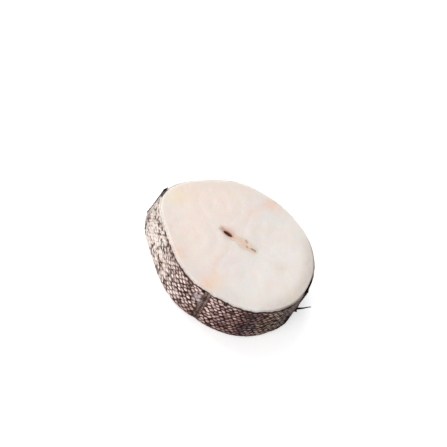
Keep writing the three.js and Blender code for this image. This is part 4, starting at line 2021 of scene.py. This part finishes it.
    def scales(self, centres: Array, width: Array, length: Array, rise: float,
               draw: np.random.Generator) -> Shell:
        """Scales as thin rounded lozenges whose free edge, towards the tail, stands up.

        Args:
            centres: Turn and height of each scale.
            width: Half width of each, round the body, in mm.
            length: Half length of each, along the body, in mm.
            rise: Height of the free edge over the nominal skin, in mm.
            draw: Where random numbers come from.

        Returns:
            All the scales as one shell.
        """
        count = len(centres)
        u, v, skirt, rim = self.scale.outline()
        twist = draw.normal(0.0, self.scale.twist, (count, 1))
        tall = rise * (1.0 + draw.normal(0.0, self.scale.unlike, (count, 1)))
        along = length[:, None] * (v + twist * u)
        across = width[:, None] * (u - twist * v)
        turn = centres[:, :1] + across / self.section.speed(centres[:, 0])[:, None]
        low = np.maximum(centres[:, 1] - length, self.foot + self.scale_foot_gap)[:, None]
        swollen = self.section.swollen_rim(centres[:, 0])
        cut_back = draw.uniform(*self.cut_back, count) * (1.0 - swollen)
        limit = self.top(centres[:, 0]) - cut_back - self.hidden_cut_back * swollen
        high = np.minimum(centres[:, 1] + length, limit)[:, None]
        z = low + (high - low) * as_share((along / length[:, None] + 1.0) / 2.0)
        height = self.scale.height(u, v, rim, tall, self.sunk)
        height = np.minimum(height, self.tallest) - skirt
        flat = self.section.side(turn, z, 0.0)
        points = self.section.side(turn, z, self.dent(flat) - height)
        shell = Shell(points.reshape(-1, 3), self.scale.faces(count))
        below = self.section.side(*centres.T, 0.0)
        bearing = self.bearing(below)[:, None]
        edge, glint = self.scale_marks.at(u, v, (width, length), centres, bearing, below, draw)
        return self.mark(shell, edge.ravel(), glint.ravel(), 0.0)

    def build_scales(self, place: Place, material: Material) -> None:
        """Makes all the scales as one piece.

        Args:
            place: Carries them to the frame.
            material: Their finish.
        """
        draw = np.random.default_rng(self.scale_seed)
        centres = self.scale_centres(draw)
        count = len(centres)
        pitch = FULL_TURN / self.scale_columns * self.section.speed(centres[:, 0])
        row = self.section.thickness / self.scale_rows
        wider, longer = self.scale_overlap
        width = pitch * wider * (1.0 + draw.normal(0.0, self.scale_unlike, count))
        length = row * longer * (1.0 + draw.normal(0.0, self.scale_unlike, count))
        body = self.scales(centres, width, length, self.scale_rise, draw)
        line = self.line_centres(draw)
        line_width, line_length = (np.full(len(line), half) for half in self.line_scale_half)
        along_line = self.scales(line, line_width, line_length, self.line_scale_rise, draw)
        piece = Shell.joined([body, along_line]).make("scales", place, material)


# ---------------- fins


class Edge(Enum):
    """The two edges of the fish that carry a fin, as turns at the lower and the upper cut."""

    BACK = (-0.015, -0.042)
    BELLY = (math.pi + 0.011, math.pi - 0.13)


@dataclass(frozen=True)
class StripPoint:
    """A point of one side of the strip's profile: how far out and aside, and how it is coloured."""

    out: float = 0.0
    of_keel: float = 0.0
    of_reach: float = 0.0
    of_half: float = 0.0
    aside: float = 0.0
    of_sway: float = 0.0
    thin: float = 0.0
    side: float = 0.0


@dataclass(frozen=True)
class TrimmedFin:
    """A fin cut close: a low strip of skin, its cut rays, and the web between them."""

    section: Section
    edge: Edge
    width: float
    keel: float
    rays: tuple[float, ...]
    top: float
    seed: int
    grey_middle: float = 0.0
    pale_sides: float = 0.0
    foot: float = 0.6
    gap: float = 0.05
    web: float = 0.62
    ray_radius: float = 0.4
    lean: float = 0.25
    steps: int = 120
    turn_step: float = 0.02
    torn: Slope = Slope(1.0, 0.2)
    torn_pitch: float = 0.5
    ray_share: float = 0.9
    end_shares: Pair = (0.3, 0.7)
    end_length: float = 1.2
    sway: float = 0.25
    sway_pitch: float = 2.5
    sway_shift: float = 7.0
    profile: tuple[StripPoint, ...] = (
        StripPoint(out=-0.35, of_half=1.0, thin=0.5, side=1.0),
        StripPoint(of_keel=0.25, of_half=0.85, thin=0.4, side=1.0),
        StripPoint(of_keel=0.75, of_half=0.5, thin=0.3, side=0.8),
        StripPoint(of_keel=1.0, aside=0.5, thin=0.2, side=0.1),
        StripPoint(of_keel=0.45, of_reach=0.55, aside=0.34, of_sway=0.5, thin=0.7),
        StripPoint(of_reach=1.0, aside=0.16, of_sway=1.0, thin=1.0),
    )
    lumps_pitch: float = 0.6
    lumps_height: float = 0.06
    grey_from: Fade = Fade(6.0, 10.0)
    grey_to: Fade = Fade(18.0, 14.5)
    grey_cover: Slope = Slope(0.8, 0.6)
    grey_pitch: float = 0.9
    grey_tightness: float = 1.6
    pale_to: Fade = Fade(11.0, 8.0)
    rod_sides: int = 10
    rod_rings: int = 7
    rod_thin: float = 0.25
    ray_unevenness: float = 0.08
    ray_swing: float = 0.3
    ray_root: float = 0.2
    ray_root_rise: float = 0.4
    ray_taper: Pair = (1.15, 0.3)
    ray_tip: float = 0.6

    def stand(self, z: Array) -> tuple[Array, Array, Array]:
        """Where the fin stands on the skin.

        Args:
            z: Heights over the lower cut.

        Returns:
            Its foot at each height, the way it points, and the way across it.
        """
        low, high = self.edge.value
        turn = low + (high - low) * z / self.section.thickness
        ahead = self.section.side(turn + self.turn_step, z, -self.gap)
        behind = self.section.side(turn - self.turn_step, z, -self.gap)
        across = (ahead - behind) / np.linalg.norm(ahead - behind, axis=-1, keepdims=True)
        outward = np.stack([across[..., 1], -across[..., 0], 0.0 * z], axis=-1)
        return self.section.side(turn, z, -self.gap), outward, across

    def strip(self) -> Shell:
        """The strip of skin with the web that stands on it.

        Returns:
            Its shell.
        """
        z = np.linspace(self.foot, self.top, self.steps)
        level = (z - self.foot) / (self.top - self.foot) * len(self.rays)
        ray = np.minimum(len(self.rays) - 1, level.astype(int))
        off = level - ray - 0.5
        length = np.array(self.rays)[ray]
        grain = Grain(self.seed)
        points = np.stack([z * 0, z * 0, z], axis=-1)
        torn = self.torn.at(grain.at(points, self.torn_pitch))
        webbed = self.web + (self.ray_share - self.web) * np.cos(math.pi * off) ** 2
        at_ends, rising = self.end_shares
        to_end = np.minimum(z - self.foot, self.top - z)
        fade = np.minimum(1.0, at_ends + rising * to_end / self.end_length)
        reach = (self.keel + length * webbed * torn) * fade
        sway = self.sway * grain.at(points + self.sway_shift, self.sway_pitch)
        half, keel = self.width / 2, self.keel * fade
        foot, outward, across = self.stand(z)
        profile = [(-1.0, p) for p in self.profile] + [(1.0, p) for p in reversed(self.profile)]
        loops = []
        for sign, p in profile:
            out = p.out + p.of_keel * keel + p.of_reach * reach
            side = sign * (p.of_half * half + p.aside) + p.of_sway * sway
            loops.append(foot + outward * out[:, None] + across * side[:, None])
        sections = np.stack(loops, axis=1)
        lumps = Lumps(self.seed, self.lumps_pitch, self.lumps_height)
        sections += lumps.at(sections)[..., None] * outward[:, None]
        thin = np.tile([p.thin for _, p in profile], self.steps)
        sides = np.tile([p.side for _, p in profile], self.steps)
        return self.mark(Shell.tube(sections), thin, sides)

    def mark(self, shell: Shell, thin: Array | float, sides: Array | float) -> Shell:
        """Puts on each point the masks that the fin's finish reads.

        Args:
            shell: A shell of the fin, in mm.
            thin: How much brown each point can show.
            sides: How much each point belongs to the sloping sides of the strip.

        Returns:
            The same shell.
        """
        z = shell.points[:, 2]
        grain = Lumps(self.seed + 1, self.grey_pitch, tightness=self.grey_tightness).at(shell.points)
        grey = self.grey_from.at(z) * self.grey_to.at(z) * self.grey_cover.at(grain)
        shell.with_field("thin", thin)
        shell.with_field("pale", self.pale_sides * sides * self.pale_to.at(z))
        return shell.with_field("grey", as_share(self.grey_middle * grey))

    def rod(self, path: Array, radii: Array) -> Shell:
        """A round rod along a path that doesn't run straight up.

        Args:
            path: Points of its middle line, in mm.
            radii: Its radius at each.

        Returns:
            Its shell.
        """
        way = np.gradient(path, axis=0)
        way /= np.linalg.norm(way, axis=1, keepdims=True)
        first = np.cross((0.0, 0.0, 1.0), way)
        first /= np.linalg.norm(first, axis=1, keepdims=True)
        second = np.cross(way, first)
        angle = np.arange(self.rod_sides) * FULL_TURN / self.rod_sides
        circle = first[:, None] * np.cos(angle)[:, None] + second[:, None] * np.sin(angle)[:, None]
        shell = Shell.tube(path[:, None] + circle * radii[:, None, None])
        return self.mark(shell, self.rod_thin, 0.0)

    def ray_rods(self) -> list[Shell]:
        """The cut rays, each bent a little towards the tail.

        Returns:
            One shell for each ray.
        """
        draw = np.random.default_rng(self.seed)
        pitch = (self.top - self.foot) / len(self.rays)
        share = np.linspace(0.0, 1.0, self.rod_rings)[:, None]
        at_root, taper = self.ray_taper
        rods = []
        for k, length in enumerate(self.rays):
            z = self.foot + (k + 0.5) * pitch
            foot, outward, across = self.stand(np.array(z))
            uneven = 1.0 + self.ray_unevenness * draw.standard_normal()
            reach = (self.ray_share * length + self.keel) * uneven
            swing = self.ray_swing * draw.standard_normal()
            rise = np.array((0.0, 0.0, self.lean * length))
            path = foot + outward * (reach * share - self.ray_root) + across * swing * share**2
            path = path + rise * (share - self.ray_root_rise)
            radii = self.ray_radius * (at_root - taper * share[:, 0])
            radii[-1] *= self.ray_tip
            rods.append(self.rod(path, radii))
        return rods

    def shells(self) -> list[Shell]:
        """All the parts of the fin."""
        return [self.strip(), *self.ray_rods()]


@dataclass(frozen=True)
class LongRay:
    """The one ray of the back fin that the knife has left long."""

    level: float = 3.4
    reach: float = 7.2
    across: float = 4.6
    rise: float = 1.5
    bow: float = 0.5
    radius: float = 0.56
    taper: tuple[float, float, float] = (1.5, 1.1, 0.5)
    swerve: float = 1.15
    ripple: float = 0.12
    ripples: float = 9.0
    rings: int = 22

    def shell(self, fin: TrimmedFin) -> Shell:
        """The ray, from the fin's strip to its tip.

        Args:
            fin: The fin that it belongs to.

        Returns:
            Its shell.
        """
        share = np.linspace(0.0, 1.0, self.rings)
        foot, outward, across = fin.stand(np.array(self.level))
        ahead = self.reach * share
        aside = self.across * share**self.swerve + self.ripple * np.sin(self.ripples * share)
        path = foot + outward * ahead[:, None] + across * aside[:, None]
        path[:, 2] += self.rise * share + 4 * self.bow * share * (1.0 - share)
        at_root, thinning, power = self.taper
        radii = self.radius * (at_root - thinning * share**power)
        return fin.rod(path, radii)


# ---------------- studio


@dataclass(frozen=True)
class Lamp:
    """A soft area lamp: where it stands, its width in metres and its power in watts."""

    name: str
    at: tuple[float, float, float]
    width: float
    watts: float


@dataclass(frozen=True)
class Studio:
    """The pale floor, the soft light, and the camera at the photograph's viewing angle."""

    elevation: float = 55.0
    azimuth: float = 3.434
    roll: float = 30.876
    target: tuple[float, float, float] = (-9.773, 12.475, 12.5)
    distance: float = 630.195
    lens: float = 100.0
    sensor: float = 36.0
    sky: float = 0.56
    floor_glow: float = 0.42
    floor_half: float = 1.6
    floor_tones: tuple[Paint, Paint] = (Paint(250, 250, 250), Paint(252, 252, 252))
    floor_mottle: float = 40.0
    floor_roughness: float = 0.9
    white: Paint = Paint(255, 255, 255)
    lamps: tuple[Lamp, ...] = (
        Lamp("key_lamp", (-0.5, 0.35, 0.75), 0.6, 3.6),
        Lamp("fill_lamp", (-0.35, -0.8, 0.35), 0.7, 3.2),
    )

    def build_camera(self, place: Place) -> None:
        """Makes the camera; its elevation, azimuth and roll are in degrees.

        Args:
            place: Carries its target to the frame.
        """
        elevation, azimuth = math.radians(self.elevation), math.radians(self.azimuth)
        roll = math.radians(self.roll)
        level = math.cos(elevation)
        ahead = Vector((-math.sin(azimuth) * level, math.cos(azimuth) * level, -math.sin(elevation)))
        right = Vector((math.cos(azimuth), math.sin(azimuth), 0.0))
        up = right.cross(ahead)
        turned = right * math.cos(roll) + up * math.sin(roll)
        turned_up = turned.cross(ahead)
        data = bpy.data.cameras.new("camera")
        data.lens = self.lens
        data.sensor_width = self.sensor
        camera = bpy.data.objects.new("camera", data)
        middle = Vector(place.carry(np.array(self.target)))
        axes = Matrix((turned, turned_up, -ahead)).transposed().to_4x4()
        camera.matrix_world = Matrix.Translation(middle - ahead * self.distance * MM) @ axes
        bpy.context.scene.collection.objects.link(camera)
        bpy.context.scene.camera = camera

    def build_floor(self) -> None:
        """Makes the white floor."""
        graph = Graph("white_floor")
        tone = graph.mix(graph.noise(self.floor_mottle), *self.floor_tones)
        graph.set_shader(Base_Color=tone, Roughness=self.floor_roughness, Emission_Color=self.white,
                         Emission_Strength=self.floor_glow)
        mesh = bpy.data.meshes.new("floor")
        half = self.floor_half
        mesh.from_pydata([(-half, -half, 0), (half, -half, 0), (half, half, 0), (-half, half, 0)],
                         [], [(0, 1, 2, 3)])
        mesh.materials.append(graph.material)
        floor = bpy.data.objects.new("floor", mesh)
        bpy.context.scene.collection.objects.link(floor)

    def build_light(self) -> None:
        """Makes the lamps and the even light from all round."""
        for lamp in self.lamps:
            data = bpy.data.lights.new(lamp.name, "AREA")
            data.shape = "DISK"
            data.size = lamp.width
            data.energy = lamp.watts
            light = bpy.data.objects.new(lamp.name, data)
            light.location = lamp.at
            light.rotation_euler = (-Vector(lamp.at)).to_track_quat("-Z", "Y").to_euler()
            bpy.context.scene.collection.objects.link(light)
        world = bpy.data.worlds.new("studio")
        world.use_nodes = True
        background = world.node_tree.nodes["Background"]
        background.inputs["Color"].default_value = self.white.linear()
        background.inputs["Strength"].default_value = self.sky
        bpy.context.scene.world = world
        bpy.context.scene.view_settings.view_transform = "Standard"


def main() -> None:
    """Builds the steak piece by piece, and the studio round it."""
    logging.basicConfig(level=logging.INFO)
    section = Section()
    spine = Spine()
    place = Place.from_frame(spine)
    log.info("the fish's axes are %.3f and %.3f mm off the frame's", *place.shift)

    studio = Studio()
    studio.build_camera(place)
    studio.build_floor()
    studio.build_light()

    muscle = Muscle(section, spine)
    muscle.build(place, FleshFinish())
    backbone = Backbone(muscle)
    backbone.build_bone(place, BoneFinish())
    backbone.build_fillings(place, ClotFinish(), NerveFinish())

    hide = Hide(section)
    skin = SkinFinish().material()
    hide.build_base(place, skin)
    hide.build_scales(place, skin)

    fins = FinFinish().material()
    back_fin = TrimmedFin(
        section, Edge.BACK, width=3.4, keel=0.35, seed=51, top=25.2, grey_middle=0.7,
        rays=(1.5, 1.2, 0.5, 0.3, 0.25, 0.25, 0.25, 0.3, 0.3),
    )
    parts = [*back_fin.shells(), LongRay().shell(back_fin)]
    piece = Shell.joined(parts).make("cut_back_fin", place, fins)
    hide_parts("back_fin")
    belly_fin = TrimmedFin(
        section, Edge.BELLY, width=2.8, keel=0.3, seed=52, top=23.2, pale_sides=0.9,
        rays=(0.7, 0.5, 0.35, 0.3, 0.3, 0.35, 0.3, 0.35, 0.4),
    )
    piece = Shell.joined(belly_fin.shells()).make("cut_belly_fin", place, fins)
    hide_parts("belly_fin")


if __name__ == "__main__":
    main()
